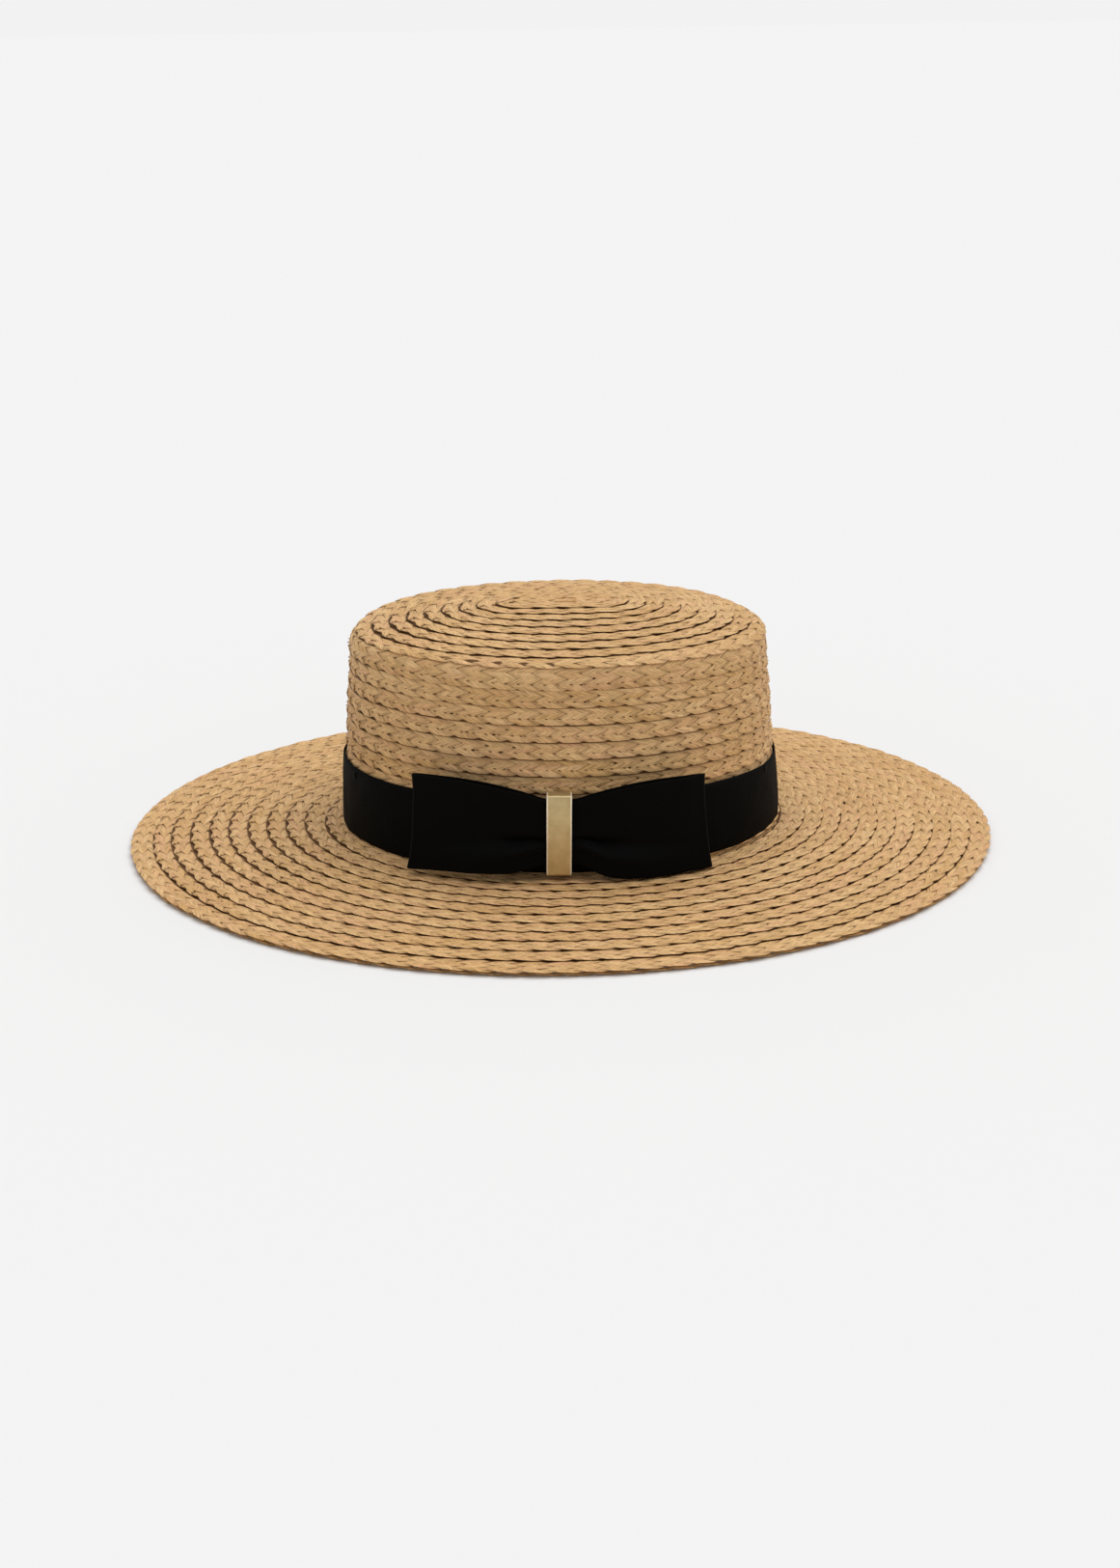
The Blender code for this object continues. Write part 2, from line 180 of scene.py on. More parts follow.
def mesh_piece(name, points, faces, material, smooth=True):
    mesh = bpy.data.meshes.new(name)
    mesh.from_pydata([tuple(p) for p in points], [], faces)
    mesh.update()
    if smooth:
        mesh.shade_smooth()
    piece = bpy.data.objects.new(name, mesh)
    bpy.context.scene.collection.objects.link(piece)
    mesh.materials.append(material)
    return piece


def settle(piece, slot, *nodes):
    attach(piece, "root")
    if nodes:
        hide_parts(*nodes)
    return piece


# ---------------------------------------------------------------- node trees

def joined(tree, socket, value):
    """An input joined to a socket or set to a value."""
    if isinstance(value, bpy.types.NodeSocket):
        tree.links.new(value, socket)
    else:
        socket.default_value = value


def add(tree, kind, inputs=(), **settings):
    """A node with its settings, and its inputs set to values or joined to sockets."""
    node = tree.nodes.new(kind)
    for key, value in settings.items():
        setattr(node, key, value)
    for key, value in dict(inputs).items():
        joined(tree, node.inputs[key], value)
    return node


def math_node(tree, operation, *values):
    node = tree.nodes.new("ShaderNodeMath")
    node.operation = operation
    for i, value in enumerate(values):
        joined(tree, node.inputs[i], value)
    return node.outputs[0]


def sums(tree):
    """Short names for a tree's four kinds of sum: plus, minus, times and divided."""
    kinds = ("ADD", "SUBTRACT", "MULTIPLY", "DIVIDE")
    return [functools.partial(math_node, tree, kind) for kind in kinds]


def held_within(tree, value, low=-1.0, high=1.0):
    return add(tree, "ShaderNodeClamp", {"Value": value, "Min": low, "Max": high}).outputs[0]


def vector_node(tree, operation, *values):
    node = tree.nodes.new("ShaderNodeVectorMath")
    node.operation = operation
    for i, value in enumerate(values):
        scaled = operation == "SCALE" and i == 1
        joined(tree, node.inputs["Scale" if scaled else i], value)
    return node.outputs[0]


def new_tree(name, kind, inputs, outputs):
    tree = bpy.data.node_groups.new(name, kind)
    for label, socket_type in inputs:
        tree.interface.new_socket(label, in_out="INPUT", socket_type=socket_type)
    for label, socket_type in outputs:
        tree.interface.new_socket(label, in_out="OUTPUT", socket_type=socket_type)
    return tree, tree.nodes.new("NodeGroupInput"), tree.nodes.new("NodeGroupOutput")


def grown(name, guide, tree, values):
    """The plain mesh that a Geometry Nodes tree makes from a guide mesh."""
    source = bpy.data.objects.new(name + "_guide", guide)
    bpy.context.scene.collection.objects.link(source)
    modifier = source.modifiers.new("tree", "NODES")
    modifier.node_group = tree
    for item in tree.interface.items_tree:
        if item.in_out == "INPUT" and item.name in values:
            modifier[item.identifier] = values[item.name]
    evaluated = source.evaluated_get(bpy.context.evaluated_depsgraph_get())
    mesh = bpy.data.meshes.new_from_object(evaluated)
    source.modifiers.remove(modifier)
    bpy.data.objects.remove(source)
    mesh.name = name
    piece = bpy.data.objects.new(name, mesh)
    bpy.context.scene.collection.objects.link(piece)
    return piece


# ---------------------------------------------------------------- the hat's own shape

def smooth_step(x):
    x = np.clip(x, 0.0, 1.0)
    return x * x * (3 - 2 * x)


def meridian():
    """The hat's outer face from the tip's middle line to the rim: front reach, spread, height and length."""
    reach = np.linspace(0, TIP_B - TIP_ROUND, TIP_POINTS)
    height = TIP_EDGE_Z + TIP_DOME * (1 - (reach / TIP_B) ** TIP_DOME_POWER)
    edge = height[-1]
    side_top = edge - TIP_ROUND
    bend = np.linspace(0, math.pi / 2, BEND_POINTS + 1)[1:]
    down = np.linspace(0, 1, SIDE_POINTS + 1)[1:]
    out = np.linspace(0, 1, BRIM_POINTS + 1)[1:]
    reach = np.concatenate([
        reach,
        TIP_B - TIP_ROUND + TIP_ROUND * np.sin(bend),
        TIP_B + (HEAD_B - TIP_B) * down,
        HEAD_B + (RIM_B - HEAD_B) * out,
    ])
    height = np.concatenate([
        height,
        edge - TIP_ROUND * (1 - np.cos(bend)),
        side_top + (HEADLINE_Z - side_top) * down,
        RIM_TOP_Z + (HEADLINE_Z - RIM_TOP_Z) * (1 - out ** DROOP_POWER),
    ])
    rim_spread = RIM_A - RIM_B
    spread = np.append(np.full(SIDE_END + 1, TIP_SPREAD), TIP_SPREAD + (rim_spread - TIP_SPREAD) * out)
    length = np.append(0, np.cumsum(np.hypot(np.diff(reach + spread), np.diff(height))))
    return reach, spread, height, length


REACH, SPREAD, HEIGHT, LENGTH = meridian()


def length_at_reach(reach):
    return float(np.interp(reach, REACH[:TIP_POINTS], LENGTH[:TIP_POINTS]))


def length_at_height(height):
    rows = slice(TIP_POINTS, SIDE_END + 1)
    return float(np.interp(-height, -HEIGHT[rows], LENGTH[rows]))


def length_on_brim(share):
    return float(LENGTH[SIDE_END] + (LENGTH[-1] - LENGTH[SIDE_END]) * share)


def ring_point(angle, reach, spread):
    """A ring round the middle line: an oval further out, a straight fold with round ends near the middle."""
    core = np.minimum(1, reach / ROUND_REACH)
    b = np.maximum(core * reach, 1e-5)
    a = b + spread
    c, s = np.cos(angle), np.sin(angle)
    h = np.hypot(a * c, b * s)
    rest = (1 - core) * reach
    return a * a * c / h + rest * c, b * b * s / h + rest * s


def row_length(row):
    """How far down the hat's meridian a row lies; rows are counted in turns of the spiral."""
    side_end = TIP_ROWS + SIDE_ROWS
    covered_height = SIDE_FIRST_ROW - SIDE_PITCH * (SIDE_ROWS - BAND_ROWS - 0.5)
    brim_width = RIM_A - HEAD_A
    rim = 1 - PLAIT_HALF / brim_width
    rows, lengths = zip(
        (0, length_at_reach(FIRST_ROW)),
        (TIP_ROWS - 0.5, length_at_reach(TIP_LAST_ROW)),
        (TIP_ROWS + 0.5, length_at_height(SIDE_FIRST_ROW)),
        (side_end - BAND_ROWS, length_at_height(covered_height)),
        (side_end - 0.5, length_at_height(SIDE_LAST_ROW)),
        (side_end + 0.5 * (1 - 1 / BRIM_ROWS), length_on_brim(HEADLINE_TO_ROW / brim_width)),
        (RIM_ROW - 1, length_on_brim(rim - RIM_ROW_SHOWN / brim_width)),
        (RIM_ROW, length_on_brim(rim)),
    )
    return np.interp(row, rows, lengths)


def spiral_row(turn):
    """The row number at a turn: an even spiral on the crown that becomes closed rings toward the rim."""
    whole = np.minimum(np.floor(turn), RIM_ROW)
    part = turn - whole
    rings = np.clip((whole - (TIP_ROWS + SIDE_ROWS - 1)) / BRIM_ROWS, 0, 1)
    step = smooth_step((part - RING_STEP) / (1 - RING_STEP))
    step = np.where(whole >= RIM_ROW, 0, step)
    return whole + (1 - rings) * part + rings * step


def slope_at(length):
    """The hat's slope at a way down its meridian, taken over one row's half width."""
    ahead, behind = length + SLOPE_REACH, length - SLOPE_REACH
    return np.arctan2(
        np.interp(ahead, LENGTH, HEIGHT) - np.interp(behind, LENGTH, HEIGHT),
        np.interp(ahead, LENGTH, REACH + SPREAD) - np.interp(behind, LENGTH, REACH + SPREAD),
    )


def edge_bends(length, slope):
    """How each edge of a row bends off its plane and is drawn in, for the square of the way across."""
    bends = []
    for way in (1, -1):
        beyond = length + way * PLAIT_HALF
        sideways = np.interp(beyond, LENGTH, REACH + SPREAD) - np.interp(length, LENGTH, REACH + SPREAD)
        upward = np.interp(beyond, LENGTH, HEIGHT) - np.interp(length, LENGTH, HEIGHT)
        rise = upward * np.cos(slope) - sideways * np.sin(slope)
        run = way * (sideways * np.cos(slope) + upward * np.sin(slope))
        inside = (beyond > 0) & (beyond < LENGTH[-1])
        bends.append(np.where(inside, rise / PLAIT_HALF ** 2, 0))
        bends.append(np.where(inside, (run / PLAIT_HALF - 1) / PLAIT_HALF, 0))
    return bends


def resampled(at, along, values):
    return np.stack([np.interp(at, along, column) for column in values.T], 1)


def guide_line(start, end, drop=0.0, fixed_length=None, tilt=SHINGLE):
    """A plait's guide from one turn to another.

    It gives the places, the ways across the plait and out of its face, the marks it carries (its two edges'
    bends, where the row above ends, and how loose its edge is), and the distances along it.
    """
    closed = fixed_length is not None
    spare_turn = 0.05 if closed else 0.25
    samples = int((end - start + 2 * spare_turn) * TURN_SAMPLES) + 2
    turn = np.linspace(start - spare_turn, end + spare_turn, samples)
    angle = math.pi / 2 + 2 * math.pi * turn
    length = np.full(len(turn), fixed_length) if closed else row_length(spiral_row(turn))
    before = np.zeros(len(turn)) if closed else row_length(spiral_row(turn - 1))
    past_edge = length - LENGTH[TIP_END]
    slope = slope_at(length)

    x, y = ring_point(angle, np.interp(length, LENGTH, REACH), np.interp(length, LENGTH, SPREAD))
    end_drop = END_DROP * np.exp(-(past_edge / END_DROP_SPAN) ** 2) * np.cos(angle) ** 4
    height = np.interp(length, LENGTH, HEIGHT) - end_drop
    out = np.stack([np.cos(angle), np.sin(angle), np.zeros(len(angle))], 1)
    up = np.array([0.0, 0.0, 1.0])
    across = out * np.cos(slope)[:, None] + up * np.sin(slope)[:, None]
    face = -out * np.sin(slope)[:, None] + up * np.cos(slope)[:, None]
    tuck = 0 * turn if closed else LAST_TUCK * smooth_step((turn - (RIM_ROW + RING_STEP)) / TUCK_TURN)
    place = np.stack([x, y, height], 1) - face * (WALL_MIDDLE + drop + tuck)[:, None]

    corner = np.exp(-(past_edge / CORNER_SPAN) ** 2)
    wall = smooth_step((past_edge - CORNER_SPAN) / WALL_SPAN)
    wall = wall * smooth_step((LENGTH[SIDE_END] - length) / WALL_SPAN)
    lean = (tilt * (1 - CORNER_EASE * corner + WALL_LEAN * wall))[:, None]
    lean_across = across * np.cos(lean) + face * np.sin(lean)
    lean_face = face * np.cos(lean) - across * np.sin(lean)

    apart = length - before
    lapped = (turn > FIRST_HEM) & (apart > ROWS_APART)
    # hem: where the row above ends, moved on along the crown's side so that its painted shadow reaches
    # further
    hem = np.where(lapped, PLAIT_HALF - apart + WALL_SHADOW * wall, NO_HEM)
    leftward = -np.cos(angle + LOOSE_TURN)
    loose = smooth_step((leftward - LOOSE_FROM) / LOOSE_SPAN) * LOOSE_EDGE * (turn < LOOSE_END)
    marks = np.column_stack([*edge_bends(length, slope), hem, loose])

    along = np.append(0, np.cumsum(np.linalg.norm(np.diff(place, axis=0), axis=1)))
    first, last = np.interp([start, end], turn, along)
    at = np.arange(-SPARE, int(math.ceil((last - first) / STEP)) + SPARE + 1) * STEP
    return (*(resampled(at + first, along, part) for part in (place, lean_across, lean_face, marks)), at)


def middle_line():
    """A short straight plait under the tip's first turn, closing the hollow along its middle line."""
    reach = SPREAD[0] + MIDDLE_OVER
    at = np.arange(-SPARE, int(2 * reach / STEP) + SPARE + 1) * STEP
    none, one = np.zeros(len(at)), np.ones(len(at))
    place = np.stack([at - reach, none, (TOP_Z - WALL_MIDDLE - MIDDLE_DROP) * one], 1)
    across, face = np.stack([none, one, none], 1), np.stack([none, none, one], 1)
    marks = np.column_stack([none, none, none, none, NO_HEM * one, none])
    return place, across, face, marks, at


def guide_mesh(name, line, begin):
    """A guide line as a mesh; begin is where it starts in the straw's own length."""
    place, across, face, marks, at = line
    mesh = bpy.data.meshes.new(name)
    mesh.from_pydata([tuple(p) for p in place], [(i, i + 1) for i in range(len(place) - 1)], [])
    none, spare = np.zeros(len(at)), np.ones(len(at))
    spare[SPARE:len(at) - SPARE] = 0
    for label, kind, values in (
        ("along", "FLOAT", at + begin),
        ("run", "FLOAT", at - at[0]),
        ("spare", "FLOAT", spare),
        ("hem", "FLOAT", marks[:, 4]),
        ("loose", "FLOAT", marks[:, 5]),
        ("bend", "FLOAT_VECTOR", np.stack([marks[:, 0], marks[:, 2], none], 1)),
        ("pull", "FLOAT_VECTOR", np.stack([marks[:, 1], marks[:, 3], none], 1)),
        ("across", "FLOAT_VECTOR", across),
        ("face", "FLOAT_VECTOR", face),
    ):
        data = mesh.attributes.new(label, kind, "POINT").data
        data.foreach_set("value" if kind == "FLOAT" else "vector", np.asarray(values, np.float32).ravel())
    return mesh


# ---------------------------------------------------------------- the plait's rule

def named(tree, label, kind="FLOAT"):
    return add(tree, "GeometryNodeInputNamedAttribute", {"Name": label}, data_type=kind).outputs["Attribute"]


def stored(tree, geometry, label, value, domain="POINT"):
    return add(tree, "GeometryNodeStoreNamedAttribute", {
        "Geometry": geometry, "Name": label, "Value": value,
    }, data_type="FLOAT", domain=domain).outputs[0]


def eased(tree, value, low, high):
    """A value's share of the way from low to high, eased at both ends."""
    return add(tree, "ShaderNodeMapRange", {
        "Value": value, "From Min": low, "From Max": high, "To Min": 0.0, "To Max": 1.0,
    }, interpolation_type="SMOOTHSTEP").outputs["Result"]


def uneven(tree, given, kind, along, strand):
    """One of the straw's slow seeded changes along a strand, at its own size."""
    rate, part, size = UNEVEN[kind]
    place = add(tree, "ShaderNodeCombineXYZ", {
        "X": math_node(tree, "MULTIPLY", along, rate),
        "Y": math_node(tree, "MULTIPLY", strand, 7.31),
        "Z": math_node(tree, "ADD", given.outputs["Seed"], part),
    }).outputs[0]
    noise = add(tree, "ShaderNodeTexNoise", {"Vector": place, "Scale": 1.0, "Detail": 1.0}).outputs["Fac"]
    change = math_node(tree, "MULTIPLY", math_node(tree, "SUBTRACT", noise, 0.5), 3.0)
    amount = math_node(tree, "MULTIPLY", given.outputs["Unevenness"], size)
    return math_node(tree, "MULTIPLY", change, amount)


def strand_ring(tree):
    """A strand's cross section: a flat strip with soft edges; side runs across it, belly through it."""
    ring = add(tree, "GeometryNodeCurvePrimitiveCircle", {"Resolution": 8, "Radius": 1.0}).outputs["Curve"]
    spot = add(tree, "ShaderNodeSeparateXYZ", {0: tree.nodes.new("GeometryNodeInputPosition").outputs[0]})
    for label, axis in (("belly", "X"), ("side", "Y")):
        squared = math_node(tree, "POWER", math_node(tree, "ABSOLUTE", spot.outputs[axis]), 0.42)
        squared = math_node(tree, "MULTIPLY", squared, math_node(tree, "SIGN", spot.outputs[axis]))
        ring = stored(tree, ring, label, squared)
    return add(tree, "GeometryNodeTransform", {
        "Geometry": ring, "Scale": (0.0003, 0.0003, 0.0003),
    }).outputs[0]


def strand_tubes(tree, given):
    """A tube for each strand along the guide without its spare ends, and the whole guide's curve."""
    whole = add(tree, "GeometryNodeMeshToCurve", {"Mesh": given.outputs["Guide"]}).outputs[0]
    beyond = math_node(tree, "GREATER_THAN", named(tree, "spare"), 0.5)
    kept = add(tree, "GeometryNodeDeleteGeometry", {
        "Geometry": given.outputs["Guide"], "Selection": beyond,
    }, domain="POINT").outputs[0]
    line = add(tree, "GeometryNodeMeshToCurve", {"Mesh": kept}).outputs[0]
    copies = add(tree, "GeometryNodeDuplicateElements", {
        "Geometry": line, "Amount": given.outputs["Strands"],
    }, domain="SPLINE")
    path = stored(tree, copies.outputs["Geometry"], "strand", copies.outputs["Duplicate Index"], "CURVE")
    tube = add(tree, "GeometryNodeCurveToMesh", {
        "Curve": path, "Profile Curve": strand_ring(tree), "Fill Caps": True,
    }).outputs[0]
    return tube, whole


def strand_cover(tree, given, along, strand, swing):
    """A strand's width as a share of its place: uneven, and narrower where it folds over."""
    plus, minus, times, _ = sums(tree)
    narrow = uneven(tree, given, "narrow", along, strand)
    cover = times(given.outputs["Straw Cover"], minus(1.0, math_node(tree, "ABSOLUTE", narrow)))
    folding = eased(tree, math_node(tree, "ABSOLUTE", swing), 0.70, 1.0)
    gap = times(given.outputs["Edge Gap"], plus(1.0, times(named(tree, "loose"), LOOSE_GAP)))
    return times(cover, minus(1.0, times(folding, gap)))


def strand_rise(tree, given, along, strand, side, phase):
    """How high a strand lies in the plait, and whether it is over (1) or under (-1) another there."""
    plus, _, times, _ = sums(tree)
    over = held_within(tree, times(math_node(tree, "COSINE", times(phase, 2 * math.pi)), 1.5))
    rise = plus(times(over, given.outputs["Strand Lift"]), uneven(tree, given, "lift", along, strand))
    crown = times(times(side, side), times(given.outputs["Straw Thickness"], -0.35))
    return plus(rise, times(crown, over)), over


def laid_on_hat(tree, tube, whole):
    """The straight tubes moved to their own place in the plait, and the plait bent over the hat's face."""
    plus, minus, times, _ = sums(tree)
    lane, where, rise = named(tree, "lane"), named(tree, "where"), named(tree, "rise")
    taken = {}
    for label in ("across", "face", "bend", "pull"):
        sample = add(tree, "GeometryNodeSampleCurve", {
            "Curves": whole, "Value": named(tree, label, "FLOAT_VECTOR"), "Length": where,
        }, data_type="FLOAT_VECTOR", mode="LENGTH")
        taken[label], place = sample.outputs["Value"], sample.outputs["Position"]
    bend = add(tree, "ShaderNodeSeparateXYZ", {0: taken["bend"]})
    pull = add(tree, "ShaderNodeSeparateXYZ", {0: taken["pull"]})
    for limit, axis, pulled in (("MAXIMUM", "X", plus), ("MINIMUM", "Y", minus)):
        part = math_node(tree, limit, named(tree, "lane"), 0.0)
        square = times(part, part)
        rise = plus(rise, times(square, bend.outputs[axis]))
        lane = pulled(lane, times(square, pull.outputs[axis]))
    offset = vector_node(tree, "ADD",
                         vector_node(tree, "SCALE", taken["across"], lane),
                         vector_node(tree, "SCALE", taken["face"], rise))
    return add(tree, "GeometryNodeSetPosition", {
        "Geometry": tube, "Position": vector_node(tree, "ADD", place, offset),
    }).outputs[0]


def shaded_and_finished(tree, tube, material):
    tube = add(tree, "GeometryNodeSetShadeSmooth", {"Geometry": tube, "Shade Smooth": True}).outputs[0]
    angle = tree.nodes.new("GeometryNodeInputMeshEdgeAngle").outputs[0]
    corner = math_node(tree, "GREATER_THAN", angle, 0.6)
    tube = add(tree, "GeometryNodeSetShadeSmooth", {
        "Geometry": tube, "Selection": corner, "Shade Smooth": False,
    }, domain="EDGE").outputs[0]
    tube = add(tree, "GeometryNodeRealizeInstances", {"Geometry": tube}).outputs[0]
    return add(tree, "GeometryNodeSetMaterial", {"Geometry": tube, "Material": material}).outputs[0]


def plait_tree():
    """A flat plait of straw strips: each runs at a slant, folds over at the plait's edge and goes back."""
    tree, given, made = new_tree("straw plait", "GeometryNodeTree", [
        ("Guide", "NodeSocketGeometry"),
        ("Strands", "NodeSocketInt"),
        ("Plait Length", "NodeSocketFloat"),
        ("Half Width", "NodeSocketFloat"),
        ("Strand Lift", "NodeSocketFloat"),
        ("Straw Thickness", "NodeSocketFloat"),
        ("Straw Cover", "NodeSocketFloat"),
        ("Edge Gap", "NodeSocketFloat"),
        ("Unevenness", "NodeSocketFloat"),
        ("Seed", "NodeSocketFloat"),
        ("Straw", "NodeSocketMaterial"),
    ], [("Plait", "NodeSocketGeometry")])
    plus, minus, times, divided = sums(tree)
    tube, whole = strand_tubes(tree, given)
    strand, along, side, belly = (named(tree, label) for label in ("strand", "along", "side", "belly"))
    strands, half_width = given.outputs["Strands"], given.outputs["Half Width"]

    # swing goes from one edge of the plait (-1) to the other (1) and back, once in a plait length
    turns = plus(divided(along, given.outputs["Plait Length"]), divided(strand, strands))
    quarter = times(turns, 4.0)
    swing = minus(math_node(tree, "PINGPONG", plus(quarter, 1.0), 2.0), 1.0)
    reach = times(half_width, plus(uneven(tree, given, "half width", along, 0.0), 1.0))
    sway = plus(times(swing, reach), uneven(tree, given, "stray", along, strand))

    cover = strand_cover(tree, given, along, strand, swing)
    slanted_side = times(side, cover)
    phase = minus(times(turns, strands), times(slanted_side, 0.25))
    rise, over = strand_rise(tree, given, along, strand, side, phase)

    # facing is 1 while the strip's own face is up, -1 after a fold; at a fold it stands on edge
    facing = held_within(tree, times(math_node(tree, "COSINE", times(quarter, math.pi / 2)), 8.0))
    on_edge = math_node(tree, "SQRT", minus(1.0, times(facing, facing)))
    half_thick = times(belly, times(given.outputs["Straw Thickness"], 0.5))
    rise = plus(rise, times(half_thick, facing))
    sway = plus(sway, times(times(half_thick, on_edge), math_node(tree, "SIGN", swing)))

    place_half = divided(given.outputs["Plait Length"], times(strands, 2.0))
    slip = uneven(tree, given, "slip", along, 0.0)
    where = plus(minus(named(tree, "run"), times(slanted_side, place_half)), slip)
    for label, value in (
        ("near_fold", eased(tree, math_node(tree, "ABSOLUTE", swing), 0.52, 0.95)),
        ("outer", times(belly, facing)),
        ("over", over),
        ("shown", minus(sway, named(tree, "hem"))),
        ("lane", sway),
        ("where", where),
        ("rise", rise),
    ):
        tube = stored(tree, tube, label, value)
    tube = laid_on_hat(tree, tube, whole)
    tree.links.new(shaded_and_finished(tree, tube, given.outputs["Straw"]), made.inputs["Plait"])
    return tree


# ---------------------------------------------------------------- materials

def new_material(name):
    material = bpy.data.materials.new(name)
    material.use_nodes = True
    tree = material.node_tree
    shader = tree.nodes["Principled BSDF"]
    return material, tree, shader


def attribute(tree, label):
    return add(tree, "ShaderNodeAttribute", attribute_name=label)


def mapped(tree, value, low, high, to_low, to_high):
    return add(tree, "ShaderNodeMapRange", {
        "Value": value, "From Min": low, "From Max": high, "To Min": to_low, "To Max": to_high,
    }).outputs["Result"]


def mixed(tree, share, first, second, blend="MIX"):
    node = tree.nodes.new("ShaderNodeMix")
    node.data_type = "RGBA"
    node.blend_type = blend
    for key, value in ((0, share), (6, first), (7, second)):
        joined(tree, node.inputs[key], value)
    return node.outputs[2]


def noise_at(tree, place, scale, detail=2.0):
    node = add(tree, "ShaderNodeTexNoise", {"Vector": place, "Scale": scale, "Detail": detail})
    return node.outputs["Fac"]


def straw_material(name, light, dark, warm, shadow):
    """Split straw: streaked along its length, tinted strip by strip, with painted shade at its edges, where
    it passes under another strip, at its folds and next to the row lapped over it.
    """
    material, tree, shader = new_material(name)
    plus, minus, times, _ = sums(tree)
    along, side, strand, over, shown, loose, outer, near_fold = (
        attribute(tree, label).outputs["Fac"]
        for label in ("along", "side", "strand", "over", "shown", "loose", "outer", "near_fold")
    )
    shift = times(strand, 3.7)
    fibres = add(tree, "ShaderNodeCombineXYZ", {
        "X": times(along, 110.0), "Y": plus(times(side, 3.4), shift), "Z": shift,
    }).outputs[0]
    splice = add(tree, "ShaderNodeCombineXYZ", {"X": times(along, 16.0), "Y": shift, "Z": 0.0}).outputs[0]
    fine = noise_at(tree, fibres, 2.2, 4.0)
    tint = noise_at(tree, splice, 1.0, 0.0)
    hue = noise_at(tree, vector_node(tree, "ADD", splice, (3.0, 17.0, 5.0)), 1.0, 1.0)
    colour = mixed(tree, mapped(tree, tint, 0.3, 0.7, 0.0, 1.0), dark, light)
    colour = mixed(tree, mapped(tree, hue, 0.45, 0.72, 0.0, 0.8), colour, warm)

    creases = mapped(tree, fine, 0.30, 0.56, 0.66, 0.0)
    # painted shade: each strip's edges darken toward the shadow colour, standing for the thin shade lines
    # where strips cross; more where the edge is loose
    edge = mapped(tree, math_node(tree, "ABSOLUTE", side), 0.84, 0.98, 0.0, 0.60)
    edge = times(edge, plus(times(loose, 0.4), 1.0))
    # painted shade on a strip where it passes under another
    under = mapped(tree, over, -0.9, 0.0, 0.22, 0.0)
    # painted shadow of the row lying over this one, just beyond that row's edge, on the strips' outer face
    # only; wider where the edge is loose
    lapped_shadow = mapped(tree, minus(shown, times(loose, 0.0006)), 0.0002, 0.0008, 0.97, 0.0)
    lapped_shadow = times(lapped_shadow, mapped(tree, outer, -0.6, -0.1, 0.0, 1.0))
    # painted shade in the pits where a strip turns under at the plait's folded edge; varied strip by strip
    # and deeper where the edge is loose
    tucked = times(mapped(tree, side, -0.99, -0.45, 1.0, 0.0), mapped(tree, near_fold, 0.2, 1.0, 0.0, 1.0))
    tucked = times(tucked, mapped(tree, tint, 0.35, 0.6, 1.0, 0.55))
    tucked = held_within(tree, times(tucked, plus(loose, 0.6)), 0.0, 0.97)
    shade = creases
    for darker in (edge, under, lapped_shadow, tucked):
        shade = math_node(tree, "MAXIMUM", shade, darker)
    tree.links.new(mixed(tree, shade, colour, shadow), shader.inputs["Base Color"])
    tree.links.new(mapped(tree, fine, 0.3, 0.7, 0.70, 0.48), shader.inputs["Roughness"])
    shader.inputs["Specular IOR Level"].default_value = 0.16
    bump = add(tree, "ShaderNodeBump", {"Height": fine, "Strength": 0.8, "Distance": 0.0005})
    tree.links.new(bump.outputs["Normal"], shader.inputs["Normal"])
    return material


# ---------------------------------------------------------------- stage

def add_camera():
    camera = bpy.data.cameras.new("camera")
    holder = bpy.data.objects.new("camera", camera)
    bpy.context.scene.collection.objects.link(holder)
    back = Vector((0.0, -math.cos(CAMERA_RISE), math.sin(CAMERA_RISE)))
    holder.location = CAMERA_AIM + back * CAMERA_AWAY
    holder.rotation_mode = "XYZ"
    holder.rotation_euler = (math.pi / 2 - CAMERA_RISE, 0.0, 0.0)
    holder.rotation_euler.rotate_axis("Z", -CAMERA_ROLL)
    camera.sensor_width = CAMERA_SENSOR
    camera.lens = CAMERA_LENS
    camera.clip_start, camera.clip_end = 0.05, 60.0
    bpy.context.scene.camera = holder


def build_stage():
    material, tree, shader = new_material("pale floor")
    shader.inputs["Base Color"].default_value = (FLOOR_SHADE, FLOOR_SHADE, FLOOR_SHADE, 1)
    shader.inputs["Roughness"].default_value = 0.9
    shader.inputs["Specular IOR Level"].default_value = 0.0
    half = 20.0
    floor = mesh_piece("floor", [(-half, -half, 0), (half, -half, 0), (half, half, 0), (-half, half, 0)],
                       [(0, 1, 2, 3)], material, False)
    world = bpy.data.worlds.new("studio")
    bpy.context.scene.world = world
    world.use_nodes = True
    tree = world.node_tree
    backdrop = tree.nodes["Background"]
    lights = add(tree, "ShaderNodeBackground")
    backdrop.inputs["Color"].default_value = (PALE, PALE, PALE, 1)
    lights.inputs["Color"].default_value = (SKY, SKY, SKY, 1)
    seen = add(tree, "ShaderNodeLightPath").outputs["Is Camera Ray"]
    both = add(tree, "ShaderNodeMixShader", {0: seen, 1: lights.outputs[0], 2: backdrop.outputs[0]})
    tree.links.new(both.outputs[0], tree.nodes["World Output"].inputs["Surface"])
    sun = bpy.data.lights.new("soft overhead light", "SUN")
    sun.energy = SUN * math.pi
    sun.angle = SUN_SPREAD
    holder = bpy.data.objects.new("soft overhead light", sun)
    bpy.context.scene.collection.objects.link(holder)
    holder.rotation_mode = "QUATERNION"
    holder.rotation_quaternion = Vector(SUN_WAY).to_track_quat("Z", "Y")
    bpy.context.scene.view_settings.view_transform = "Standard"


# ---------------------------------------------------------------- straw

